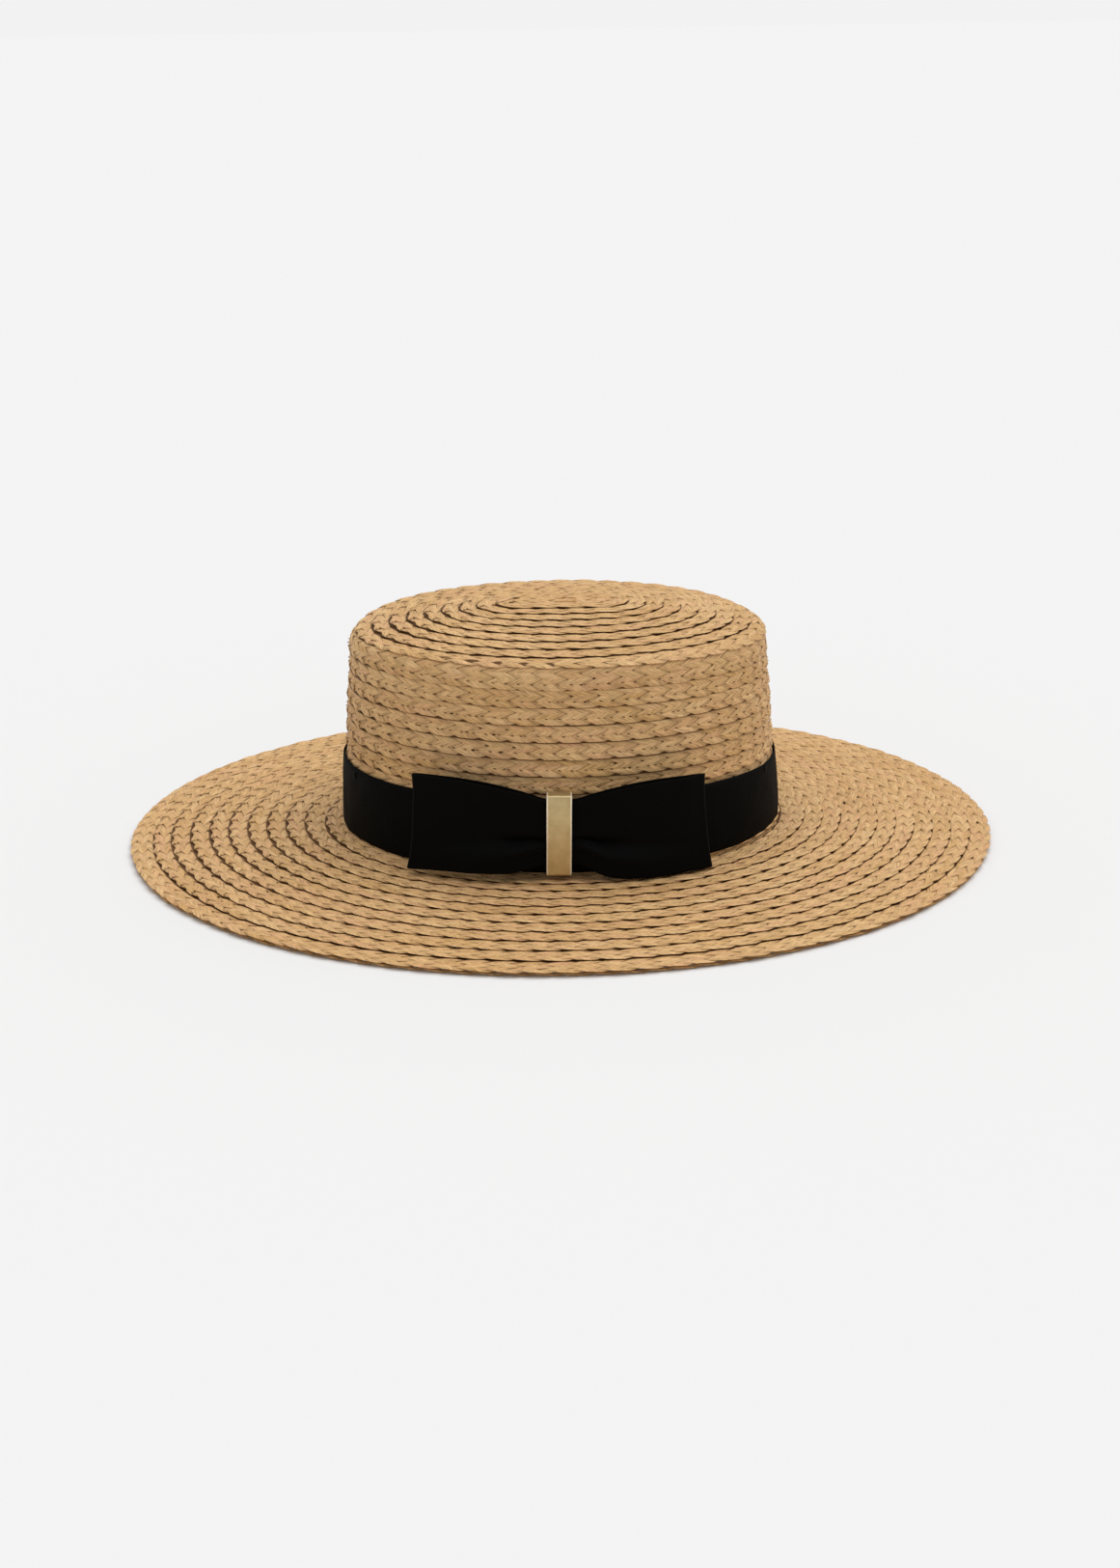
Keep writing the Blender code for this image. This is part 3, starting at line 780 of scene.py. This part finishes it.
def plait_pieces(straw):
    """The straw, part by part; each takes up the plait where the one before it ends."""
    tree = plait_tree()
    values = {
        "Strands": STRANDS, "Plait Length": PLAIT_LENGTH, "Half Width": PLAIT_HALF,
        "Strand Lift": STRAW_LIFT, "Straw Thickness": STRAW_THICKNESS, "Straw Cover": STRAW_COVER,
        "Edge Gap": EDGE_GAP, "Unevenness": UNEVENNESS, "Seed": SEED, "Straw": straw,
    }
    side_start = TIP_ROWS
    brim_start = TIP_ROWS + SIDE_ROWS
    parts = [
        ("straw_tip", 0.0, side_start, "crown_tip"),
        ("straw_side_upper", side_start, side_start + 4, "side_crown"),
        ("straw_side_middle", side_start + 4, side_start + 8, "side_crown"),
        ("straw_side_lower", side_start + 8, brim_start, "side_crown"),
        ("straw_brim_inner", brim_start, brim_start + 4, "brim"),
        ("straw_brim_middle", brim_start + 4, brim_start + 7, "brim"),
        ("straw_brim_outer", brim_start + 7, brim_start + 10, "brim"),
        ("straw_brim_rim", brim_start + 10, brim_start + BRIM_ROWS, "brim"),
    ]
    begin = 0.0
    lines = {}
    for name, start, end, node in parts:
        line = guide_line(start, end)
        piece = grown(name, guide_mesh(name, line, begin), tree, values)
        settle(piece, "straw", node)
        lines[name] = line
        begin += line[4][-1] - SPARE * STEP
    under = guide_line(0.0, 1.0, 0.0, float(row_length(RIM_ROW)) - DOUBLING_IN, 0.0)
    under[0][:, 2] = DOUBLING_Z
    under[1][:, 2] = 0.0
    under[2][:] = (0.0, 0.0, 1.0)
    under[3][:] = (0.0, 0.0, 0.0, 0.0, NO_HEM, 0.0)
    turned = guide_line(0.0, 1.0, TURN_DROP, LENGTH[SIDE_END] + TURN_UNDER, 0.0)
    for name, line, begin, node in (
        ("straw_rim_doubling", under, 3.0 * PLAIT_LENGTH, "rim_under_row"),
        ("straw_headline_turn", turned, PLAIT_LENGTH, "side_crown"),
        ("straw_tip_middle", middle_line(), 2.0 * PLAIT_LENGTH, "crown_tip"),
    ):
        settle(grown(name, guide_mesh(name, line, begin), tree, values), "straw", node)
    return lines


def wall_reach(height):
    """Front reach of the crown's outer face at a height."""
    rows = slice(TIP_END, SIDE_END + 1)
    return np.interp(-np.asarray(height), -HEIGHT[rows], REACH[rows])


def wall_place(angle, height, proud):
    reach = wall_reach(height)
    a, b = reach + TIP_SPREAD, reach
    c, s = np.cos(angle), np.sin(angle)
    h = np.hypot(a * c, b * s)
    return np.stack([a * a * c / h + proud * c, b * b * s / h + proud * s, height + 0 * angle], -1)


def grid_faces(rows, columns, closed=False):
    faces = []
    for i in range(rows - 1):
        for j in range(columns - (0 if closed else 1)):
            k = (j + 1) % columns
            faces.append((i * columns + j, i * columns + k, (i + 1) * columns + k, (i + 1) * columns + j))
    return faces


def cloth_piece(name, places, material, thick, closed=False, marks=None):
    """A strip of cloth from a grid of places, rows by columns, given its thickness both ways."""
    rows, columns = places.shape[:2]
    piece = mesh_piece(name, places.reshape(-1, 3), grid_faces(rows, columns, closed), material)
    for label, values in (marks or {}).items():
        data = piece.data.attributes.new(label, "FLOAT", "POINT").data
        data.foreach_set("value", np.asarray(values, np.float32).ravel())
    solid = piece.modifiers.new("thickness", "SOLIDIFY")
    solid.thickness = thick
    solid.offset = 0.0
    solid.use_even_offset = True
    return piece


def ripple(x, y, seed):
    """A soft seeded unevenness from -1 to 1."""
    total = 0.0
    for k in range(1, 5):
        total = total + np.sin(x * k * 1.7 + seed * k + 1.3 * np.sin(y * k + seed)) / k
    return total / 2.1


def hatband(material):
    """The grosgrain band, laid round the crown once and lapped at the front, behind the bow."""
    low, high = BAND_BOX[0].z, BAND_BOX[1].z
    turns = np.linspace(-0.02, 1.02, 620)
    levels = np.linspace(low, high, 14)
    angle, height = np.meshgrid(2 * math.pi * turns - math.pi / 2, levels)
    share = (height - low) / (high - low)
    edge_pull = 0.0004 * (np.abs(2 * share - 1) ** 3)
    lap = smooth_step((turns - 0.965) / 0.02) * BAND_LAP_STEP
    proud = BRAID_PROUD + RIBBON_THICK / 2 + 0.0003 * ripple(angle * 6, share * 3, 2.0)
    proud = proud + lap[None, :] + 0.0003 - edge_pull
    dip = np.cos(angle) ** 2 * (BAND_DIP + BAND_TWIST * np.cos(angle)) * share
    places = wall_place(angle, height - dip + 0.0004 * ripple(angle * 2, 0.0, 5.0), proud)
    along = np.append(0, np.cumsum(np.linalg.norm(np.diff(places[0], axis=0), axis=1)))
    marks = {"along": np.broadcast_to(along, angle.shape), "across": share * (high - low)}
    piece = cloth_piece("hatband", places[:, ::-1], material, RIBBON_THICK, marks={
        key: value[:, ::-1] for key, value in marks.items()})
    return settle(piece, "black_grosgrain", "hatband_ribbon")


def wing(x, pair):
    """A pair's own value for the left wing or the right."""
    left, right = pair
    return np.where(x > 0, right, left)


def bow_edges(x):
    """Top and bottom heights of the bow along its length; the right wing hangs a little fuller."""
    share = np.abs(x) / BOW_HALF
    spread = 1 - (1 - np.clip((share - 0.1) / 0.9, 0, 1)) ** 2.2
    top = BOW_TOP + wing(x, BOW_TOP_RISE) * spread
    low = BOW_LOW + BOW_LOW_LIFT * (1 - share) ** 3 - wing(x, BOW_END_FALL) * share ** 2
    sag = wing(x, BOW_SAG) * np.sin(math.pi * np.clip((share - 0.12) / 0.88, 0, 1) ** 0.8)
    gather = wing(x, BOW_GATHER) * np.exp(-((share - 0.12) / 0.13) ** 2)
    return top, low - sag + gather - BOW_LOW_DROP * smooth_step((share - 0.1) / 0.3)


def bow_end(x, v):
    """How far out a bow's end lies: hollow along its edge, its top corner drawn in, more on the right."""
    share = smooth_step((np.abs(x) / BOW_HALF - 0.80) / 0.20)
    drawn = wing(x, END_DRAWN) * (1 - v) ** 1.3
    hollow = END_HOLLOW * (1 - (2 * v - 1) ** 4)
    splay = wing(x, END_SPLAY) * v ** 3
    return (splay - drawn - hollow - END_IN) * share


def bow_front(x, v):
    """A place on the bow's front layer: x along the bow, v from its top edge down to its bottom edge."""
    share = np.abs(x) / BOW_HALF
    top, low = bow_edges(x)
    near = 1 - smooth_step((share - 0.10) / 0.42)
    crease = 0.60 + 0.09 * share
    width = 0.050 + 0.05 * share
    fold = np.exp(-((v - crease) / width) ** 2)
    shift = near * BOW_SHIFT * (smooth_step((v - crease + 0.04) / 0.08) - v) * (v > 0.3)
    height = top + (low - top) * v + shift
    sweep = BOW_SWEEP * share ** 2
    puff = BOW_PUFF * np.sin(math.pi * np.clip(share, 0, 1)) ** 0.8
    open_up = smooth_step((share - 0.06) / 0.28) * (1 - smooth_step((share - 0.45) / 0.55))
    lower = BOW_OPEN * smooth_step((v - crease) / 0.16) * open_up
    tuck = BOW_TUCK * fold * near
    beside = near * smooth_step((share - 0.04) / 0.16)
    ridge = BOW_RIDGE * np.exp(-((v - crease - 0.10) / 0.07) ** 2) * beside
    upper_hollow = BOW_HOLLOW * near * np.exp(-((v - 0.30) / 0.22) ** 2)
    soft = 0.0003 * ripple(x * 90, v * 4, 3.0)
    y = BOW_MIDDLE + sweep - BOW_FRONT - puff - lower - ridge + tuck + upper_hollow + soft
    return y, height


def leaned(places):
    """The bow and the clip turned a little about the clip's middle."""
    centre = (CLIP_BOX[0].z + CLIP_BOX[1].z) / 2
    x, y, z = places[..., 0], places[..., 1], places[..., 2] - centre
    c, s = math.cos(BOW_LEAN), math.sin(BOW_LEAN)
    return np.stack([x * c + z * s, y, z * c - x * s + centre], -1)


def bow(material):
    """One loop of ribbon, flattened, gathered by the clip in the middle and creased below it."""
    rows, front_columns, back_columns = 46, 110, 60
    v = np.linspace(0, 1, rows)[:, None]
    even = np.linspace(-1, 1, front_columns)
    eased = np.sin(np.linspace(-math.pi / 2, math.pi / 2, front_columns))
    front_x = BOW_HALF * (0.35 * eased + 0.65 * even)
    x = np.broadcast_to(front_x, (rows, front_columns))
    v_grid = np.broadcast_to(v, x.shape)
    y, z = bow_front(x, v_grid)
    wide = x + np.sign(x) * bow_end(x, v_grid)
    front = np.stack([wide, y, z], -1)
    back_x = np.linspace(1, -1, back_columns) * BOW_HALF
    xb = np.broadcast_to(back_x, (rows, back_columns))
    vb = np.broadcast_to(v, xb.shape)
    share = np.abs(xb) / BOW_HALF
    top, low = bow_edges(xb)
    end = xb + np.sign(xb) * bow_end(xb, vb)
    gap = BOW_GAP + BOW_GAP_MORE * np.sin(math.pi * share)
    yb = BOW_MIDDLE + BOW_SWEEP * share ** 2 + gap
    back = np.stack([end, yb, top - 0.0006 + (low - top + 0.0012) * vb], -1)
    folds = []
    for first, second in ((front[:, -1], back[:, 0]), (back[:, -1], front[:, 0])):
        way = np.sign(first[:, 0])[:, None]
        turn = np.linspace(0, math.pi, 9)[1:-1]
        centre, arm = (first + second) / 2, (first - second) / 2
        out = np.array([[1.0, 0.0, 0.0]]) * way * 0.0012
        folds.append(np.stack([centre + arm * math.cos(t) + out * math.sin(t) for t in turn], 1))
    places = np.concatenate([front, folds[0], back, folds[1]], 1)
    places = leaned(places)
    closed_round = np.concatenate([places, places[:, :1]], 1)
    along = np.append(0, np.cumsum(np.linalg.norm(np.diff(closed_round[rows // 2], axis=0), axis=1)))
    marks = {
        "along": np.broadcast_to(along[:-1], places.shape[:2]),
        "across": np.broadcast_to(v * BOW_RIBBON, places.shape[:2]),
    }
    piece = cloth_piece("bow", places, material, RIBBON_THICK, closed=True, marks=marks)
    return settle(piece, "black_grosgrain", "bow_loops")


def clip(material):
    """A flat brass sleeve closed round the middle of the bow, open to the left and right."""
    low, high = CLIP_BOX
    front = low.y - CLIP_FRONT
    turn = np.linspace(0, math.pi / 2, 5)

    def loop(shrink, radius):
        points = []
        corners = ((high.y, high.z, 0), (front, high.z, 1), (front, low.z, 2), (high.y, low.z, 3))
        for y, z, quarter in corners:
            sy = -1 if y == front else 1
            sz = 1 if z == high.z else -1
            cy, cz = y - sy * (shrink + radius), z - sz * (shrink + radius)
            for t in (turn if sy * sz > 0 else turn[::-1]):
                points.append((cy + sy * radius * math.cos(t), cz + sz * radius * math.sin(t)))
        return points

    half = high.x
    quarter = np.linspace(0, math.pi / 2, 4)[1:]
    rounded = [
        (CLIP_BEVEL * (1 - math.sin(t)), loop(CLIP_BEVEL * (1 - math.cos(t)), 0.0011))
        for t in quarter
    ]
    outer, inner = loop(0, 0.0013), loop(CLIP_WALL, 0.0006)
    rings = [(-half + CLIP_BEVEL, outer)]
    rings += [(-half + inset, ring) for inset, ring in rounded]
    rings += [(-half, inner), (half, inner)]
    rings += [(half - inset, ring) for inset, ring in rounded[::-1]]
    rings.append((half - CLIP_BEVEL, outer))
    points = leaned(np.array([(x - CLIP_SHIFT, y, z) for x, ring in rings for y, z in ring]))
    count = len(rings[0][1])
    faces = grid_faces(len(rings), count, True)
    last = (len(rings) - 1) * count
    faces += [(last + j, last + (j + 1) % count, (j + 1) % count, j) for j in range(count)]
    piece = mesh_piece("clip", points, faces, material)
    # the bevelled edge rings: rubbed brass, paler, and a painted highlight
    rubbed_and_highlit = np.repeat([0.0, 1.0, 1.0, 0.4, 0.0, 0.0, 0.4, 1.0, 1.0, 0.0], count)
    piece.data.attributes.new("edge", "FLOAT", "POINT").data.foreach_set("value", rubbed_and_highlit.astype(np.float32))
    tidy_mesh(piece)
    return settle(piece, "satin_brass", "bow_clip")


def tidy_mesh(piece):
    """Faces turned outward and shaded smooth."""
    work = bmesh.new()
    work.from_mesh(piece.data)
    bmesh.ops.recalc_face_normals(work, faces=work.faces)
    work.to_mesh(piece.data)
    work.free()
    piece.data.shade_smooth()


def tube_along(name, points, radius, material, sides=8, closed=False):
    """A round thread or wire through points."""
    points = [Vector(p) for p in points]
    count = len(points)
    rings, side = [], None
    for i, p in enumerate(points):
        before = points[i - 1] if closed or i else p
        after = points[(i + 1) % count] if closed or i < count - 1 else p
        way = (after - before).normalized()
        if side is None:
            side = way.orthogonal().normalized()
        side = (side - way * side.dot(way)).normalized()
        other = way.cross(side)
        thick = radius if closed or 0 < i < count - 1 else radius * 0.5
        rings.append([p + (side * math.cos(a) + other * math.sin(a)) * thick
                      for a in (2 * math.pi * k / sides for k in range(sides))])
    verts = [tuple(v) for ring in rings for v in ring]
    faces = grid_faces(count, sides, True)
    if closed:
        last = (count - 1) * sides
        faces += [(last + j, last + (j + 1) % sides, (j + 1) % sides, j) for j in range(sides)]
    else:
        faces += [tuple(range(sides))[::-1], tuple(range((count - 1) * sides, count * sides))]
    piece = mesh_piece(name, verts, faces, material)
    tidy_mesh(piece)
    return piece


def tacks(material):
    """Small knots of thread that hold the band's top edge to the straw."""
    for node in ("tack_left", "tack_right", "tack_back"):
        low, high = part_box(node)
        centre = (low + high) / 2
        angle = math.atan2(centre.y / (HEAD_B ** 2), centre.x / (HEAD_A ** 2))
        out = Vector((math.cos(angle), math.sin(angle), 0))
        along = Vector((-out.y, out.x, 0))
        base = Vector(wall_place(np.array(angle), np.array(centre.z), BRAID_PROUD + 0.0011))
        points = []
        for k in range(25):
            t = k / 24
            sway = along * (math.sin(t * math.pi * 5) * TACK_SWAY)
            fall = Vector((0, 0, TACK_HEIGHT / 2 - TACK_HEIGHT * t))
            points.append(base + sway + fall + out * (0.00018 * math.cos(t * math.pi * 10)))
        settle(tube_along(node + "_knot", points, TACK_THREAD, material), "black_thread", node)


def sweatband(material):
    """The cotton band inside the head opening, sewn along its lower edge and lapped at the back."""
    low, high = SWEAT_BOX[0].z, SWEAT_BOX[1].z
    inside = SWEAT_BOX[1].y - HEAD_B
    turns = np.linspace(-0.012, 1.012, 520)
    levels = np.linspace(low, high, 12)
    angle, height = np.meshgrid(2 * math.pi * turns + math.pi / 2, levels)
    share = (height - low) / (high - low)
    lap = smooth_step((turns - 0.975) / 0.012) * -0.0009
    proud = inside - 0.0006 - 0.0006 * share * (1 + ripple(angle * 5, share * 2, 1.0)) + lap[None, :]
    places = wall_place(angle, height, proud)
    along = np.append(0, np.cumsum(np.linalg.norm(np.diff(places[0], axis=0), axis=1)))
    marks = {"along": np.broadcast_to(along, angle.shape), "across": share * (high - low)}
    piece = cloth_piece("sweatband_cotton", places, material, 0.0007, marks=marks)
    return settle(piece, "sweatband_cotton", "sweatband")


def stitch_tree():
    """Short thread stitches set along a guide line, sunk into the straw."""
    tree, given, made = new_tree("row of stitches", "GeometryNodeTree", [
        ("Guide", "NodeSocketGeometry"),
        ("Pitch", "NodeSocketFloat"),
        ("Stitch Length", "NodeSocketFloat"),
        ("Thread Thickness", "NodeSocketFloat"),
        ("Sideways", "NodeSocketFloat"),
        ("Height", "NodeSocketFloat"),
        ("Slant", "NodeSocketFloat"),
        ("Seed", "NodeSocketInt"),
        ("Thread", "NodeSocketMaterial"),
    ], [("Stitches", "NodeSocketGeometry")])
    line = add(tree, "GeometryNodeMeshToCurve", {"Mesh": given.outputs["Guide"]}).outputs[0]
    line = add(tree, "GeometryNodeResampleCurve", {
        "Curve": line, "Length": given.outputs["Pitch"],
    }, mode="LENGTH").outputs[0]
    across, face = named(tree, "across", "FLOAT_VECTOR"), named(tree, "face", "FLOAT_VECTOR")
    sideways = given.outputs["Sideways"]
    bend = add(tree, "ShaderNodeSeparateXYZ", {0: named(tree, "bend", "FLOAT_VECTOR")}).outputs["X"]
    square = math_node(tree, "MULTIPLY", sideways, sideways)
    rise = math_node(tree, "ADD", given.outputs["Height"], math_node(tree, "MULTIPLY", square, bend))
    offset = vector_node(tree, "ADD",
                         vector_node(tree, "SCALE", across, sideways),
                         vector_node(tree, "SCALE", face, rise))
    stray = add(tree, "FunctionNodeRandomValue", {
        0: (-0.0003, -0.0003, -0.00005), 1: (0.0003, 0.0003, 0.00005), "Seed": given.outputs["Seed"],
    }, data_type="FLOAT_VECTOR").outputs[0]
    offset = vector_node(tree, "ADD", offset, stray)
    line = add(tree, "GeometryNodeSetPosition", {"Geometry": line, "Offset": offset}).outputs[0]
    tangent = tree.nodes.new("GeometryNodeInputTangent").outputs[0]
    slant = add(tree, "FunctionNodeRandomValue", {
        2: 0.4, 3: 1.6, "Seed": given.outputs["Seed"],
    }, data_type="FLOAT").outputs[1]
    slanted = vector_node(tree, "SCALE", across, math_node(tree, "MULTIPLY", given.outputs["Slant"], slant))
    way = vector_node(tree, "NORMALIZE", vector_node(tree, "ADD", tangent, slanted))
    turned = add(tree, "FunctionNodeAxesToRotation", {"Primary Axis": face, "Secondary Axis": way},
                 primary_axis="Z", secondary_axis="X").outputs[0]
    bead = add(tree, "GeometryNodeMeshUVSphere", {"Segments": 8, "Rings": 5, "Radius": 0.5}).outputs[0]
    size = add(tree, "ShaderNodeCombineXYZ", {
        "X": given.outputs["Stitch Length"],
        "Y": given.outputs["Thread Thickness"],
        "Z": given.outputs["Thread Thickness"],
    }).outputs[0]
    bead = add(tree, "GeometryNodeTransform", {"Geometry": bead, "Scale": size}).outputs[0]
    bead = add(tree, "GeometryNodeSetShadeSmooth", {"Geometry": bead, "Shade Smooth": True}).outputs[0]
    beads = add(tree, "GeometryNodeInstanceOnPoints", {
        "Points": line, "Instance": bead, "Rotation": turned,
    }).outputs[0]
    beads = add(tree, "GeometryNodeRealizeInstances", {"Geometry": beads}).outputs[0]
    beads = add(tree, "GeometryNodeSetMaterial", {
        "Geometry": beads, "Material": given.outputs["Thread"],
    }).outputs[0]
    tree.links.new(beads, made.inputs["Stitches"])
    return tree


def straw_stitches(lines, material):
    tree = stitch_tree()
    values = {
        "Pitch": STITCH_PITCH, "Stitch Length": STITCH_LENGTH, "Thread Thickness": THREAD_THICK,
        "Sideways": STITCH_LINE, "Height": STITCH_HEIGHT, "Slant": STITCH_SLANT,
        "Seed": 3, "Thread": material,
    }
    for name, line in lines.items():
        if "side" in name:
            guide = guide_mesh(name + "_stitch_guide", line, 0.0)
            piece = grown(name.replace("straw_", "stitches_"), guide, tree, values)
            settle(piece, "straw_thread")


def weave_group():
    """Ribbed cloth from its length and width: an uneven shade, a slower uneven wear and a height."""
    tree, given, made = new_tree("ribbed weave", "ShaderNodeTree", [
        ("Along", "NodeSocketFloat"),
        ("Across", "NodeSocketFloat"),
        ("Rib Width", "NodeSocketFloat"),
        ("Thread Scale", "NodeSocketFloat"),
    ], [("Shade", "NodeSocketFloat"), ("Worn", "NodeSocketFloat"), ("Height", "NodeSocketFloat")])
    along, across = given.outputs["Along"], given.outputs["Across"]
    turned = math_node(tree, "MULTIPLY", along, 2 * math.pi)
    ribs = math_node(tree, "DIVIDE", turned, given.outputs["Rib Width"])
    place = add(tree, "ShaderNodeCombineXYZ", {
        "X": math_node(tree, "MULTIPLY", along, given.outputs["Thread Scale"]),
        "Y": math_node(tree, "MULTIPLY", across, given.outputs["Thread Scale"]),
    }).outputs[0]
    threads = noise_at(tree, place, 1.0, 3.0)
    tree.links.new(threads, made.inputs["Shade"])
    tree.links.new(noise_at(tree, place, 0.03, 3.0), made.inputs["Worn"])
    height = math_node(tree, "ADD",
                       math_node(tree, "MULTIPLY", math_node(tree, "SINE", ribs), 0.5),
                       math_node(tree, "MULTIPLY", threads, 0.6))
    tree.links.new(height, made.inputs["Height"])
    return tree


def twist_group():
    """Spun thread: a fine uneven shade that also serves as its height."""
    tree, given, made = new_tree("spun thread", "ShaderNodeTree", [
        ("Place", "NodeSocketVector"),
        ("Fineness", "NodeSocketFloat"),
    ], [("Shade", "NodeSocketFloat")])
    place = vector_node(tree, "SCALE", given.outputs["Place"], given.outputs["Fineness"])
    twist = noise_at(tree, place, 1.0, 2.0)
    tree.links.new(twist, made.inputs["Shade"])
    return tree


def woven_material(group, name, colour, rib, rough, speck):
    """Ribbed cloth in one colour; speck is how much its threads vary."""
    material, tree, shader = new_material(name)
    weave = add(tree, "ShaderNodeGroup", node_tree=group)
    weave.inputs["Rib Width"].default_value = rib
    weave.inputs["Thread Scale"].default_value = 900.0
    for label in ("Along", "Across"):
        tree.links.new(attribute(tree, label.lower()).outputs["Fac"], weave.inputs[label])
    threads, worn = weave.outputs["Shade"], weave.outputs["Worn"]
    bump = add(tree, "ShaderNodeBump", {
        "Height": weave.outputs["Height"], "Strength": 0.35, "Distance": 0.00012,
    })
    tree.links.new(bump.outputs["Normal"], shader.inputs["Normal"])
    tinted = mixed(tree, 1.0, colour, mapped(tree, threads, 0.3, 0.7, 1 - speck, 1 + speck), "MULTIPLY")
    tinted = mixed(tree, 1.0, tinted, mapped(tree, worn, 0.35, 0.65, 0.85, 1.15), "MULTIPLY")
    tree.links.new(tinted, shader.inputs["Base Color"])
    tree.links.new(mapped(tree, threads, 0.3, 0.7, rough - 0.06, rough + 0.06), shader.inputs["Roughness"])
    shader.inputs["Specular IOR Level"].default_value = 0.065
    return material


def thread_material(group, name, colour):
    material, tree, shader = new_material(name)
    spun = add(tree, "ShaderNodeGroup", node_tree=group)
    tree.links.new(add(tree, "ShaderNodeTexCoord").outputs["Object"], spun.inputs["Place"])
    spun.inputs["Fineness"].default_value = 4000.0
    twist = spun.outputs["Shade"]
    tinted = mixed(tree, 1.0, colour, mapped(tree, twist, 0.3, 0.7, 0.7, 1.3), "MULTIPLY")
    tree.links.new(tinted, shader.inputs["Base Color"])
    bump = add(tree, "ShaderNodeBump", {"Height": twist, "Strength": 0.4, "Distance": 0.0001})
    tree.links.new(bump.outputs["Normal"], shader.inputs["Normal"])
    shader.inputs["Roughness"].default_value = 0.7
    shader.inputs["Specular IOR Level"].default_value = 0.25
    return material


def brass_material():
    material, tree, shader = new_material("satin brass")
    place = add(tree, "ShaderNodeTexCoord").outputs["Object"]
    stretched = vector_node(tree, "MULTIPLY", place, (300.0, 300.0, 4000.0))
    brushed = noise_at(tree, stretched, 1.0, 3.0)
    cloud = noise_at(tree, place, 180.0, 3.0)
    dull, bright = (0.565, 0.45, 0.235, 1), (0.665, 0.54, 0.30, 1)
    colour = mixed(tree, mapped(tree, cloud, 0.35, 0.65, 0.0, 1.0), dull, bright)
    edge = attribute(tree, "edge").outputs["Fac"]
    # paler, less metallic colour on the bevelled edges: rubbed brass and painted highlight
    tree.links.new(mixed(tree, edge, colour, (1.0, 0.92, 0.74, 1)), shader.inputs["Base Color"])
    tree.links.new(mapped(tree, edge, 0.0, 1.0, 1.0, 0.3), shader.inputs["Metallic"])
    rough = mapped(tree, brushed, 0.3, 0.7, 0.46, 0.58)
    rough = math_node(tree, "SUBTRACT", rough, math_node(tree, "MULTIPLY", edge, 0.24))
    tree.links.new(rough, shader.inputs["Roughness"])
    bump = add(tree, "ShaderNodeBump", {"Height": brushed, "Strength": 0.12, "Distance": 0.00005})
    tree.links.new(bump.outputs["Normal"], shader.inputs["Normal"])
    return material


def label(material):
    """A small woven size label inside the back."""
    low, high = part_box("size_label")
    wide = np.linspace(-0.5, 0.5, 25)
    tall = np.linspace(0, 1, 15)
    x = wide * (high.x - low.x)
    angle = np.arccos(np.clip(x / HEAD_A, -1, 1))
    angle_grid, share = np.meshgrid(angle, tall)
    height = low.z + (high.z - low.z) * share
    inside = SWEAT_BOX[1].y - HEAD_B - 0.0022
    proud = inside - 0.0009 - 0.0006 * np.sin(math.pi * share)
    places = wall_place(angle_grid, height, proud)
    marks = {"along": np.broadcast_to(x + 0.01, share.shape), "across": share * 0.016}
    piece = cloth_piece("label", places, material, 0.0004, marks=marks)
    return settle(piece, "label_cloth", "size_label")


def carried_nodes(frame, finishes):
    """The hidden seams and the rim's wire keep their own shape and take a better finish."""
    for node, material in finishes.items():
        holder = frame["nodes"][node]
        if not holder.material_slots:
            holder.data.materials.append(material)
        for slot in holder.material_slots:
            slot.link = "OBJECT"
            slot.material = material


def build():
    build_stage()
    add_camera()
    straw = straw_material(
        "plaited straw",
        light=(0.93, 0.61, 0.295, 1),
        dark=(0.785, 0.475, 0.197, 1),
        warm=(0.85, 0.49, 0.25, 1),
        shadow=(0.12, 0.050, 0.013, 1),
    )
    weave, twist = weave_group(), twist_group()
    black = woven_material(weave, "black grosgrain", (0.0014, 0.0014, 0.0013, 1), 0.0009, 0.74, 0.30)
    cotton = woven_material(weave, "sweatband cotton", (0.55, 0.45, 0.32, 1), 0.0007, 0.9, 0.12)
    tag = woven_material(weave, "label cloth", (0.75, 0.72, 0.66, 1), 0.0005, 0.9, 0.08)
    black_thread = thread_material(twist, "black thread", (0.006, 0.005, 0.005, 1))
    # the stitch thread's dark brown is partly its own colour and partly painted shade of the notch where
    # each stitch goes in
    straw_thread = thread_material(twist, "straw thread", (0.17, 0.085, 0.03, 1))
    wire = thread_material(twist, "rim wire", (0.45, 0.40, 0.33, 1))
    lines = plait_pieces(straw)
    straw_stitches(lines, straw_thread)
    hatband(black)
    bow(black)
    clip(brass_material())
    tacks(black_thread)
    sweatband(cotton)
    label(tag)
    carried_nodes(frame, {
        "brim_edge_wire": wire, "headline_seam": straw_thread, "sweatband_seam": straw_thread,
        "bow_stitch_left": black_thread, "bow_stitch_right": black_thread,
    })


build()
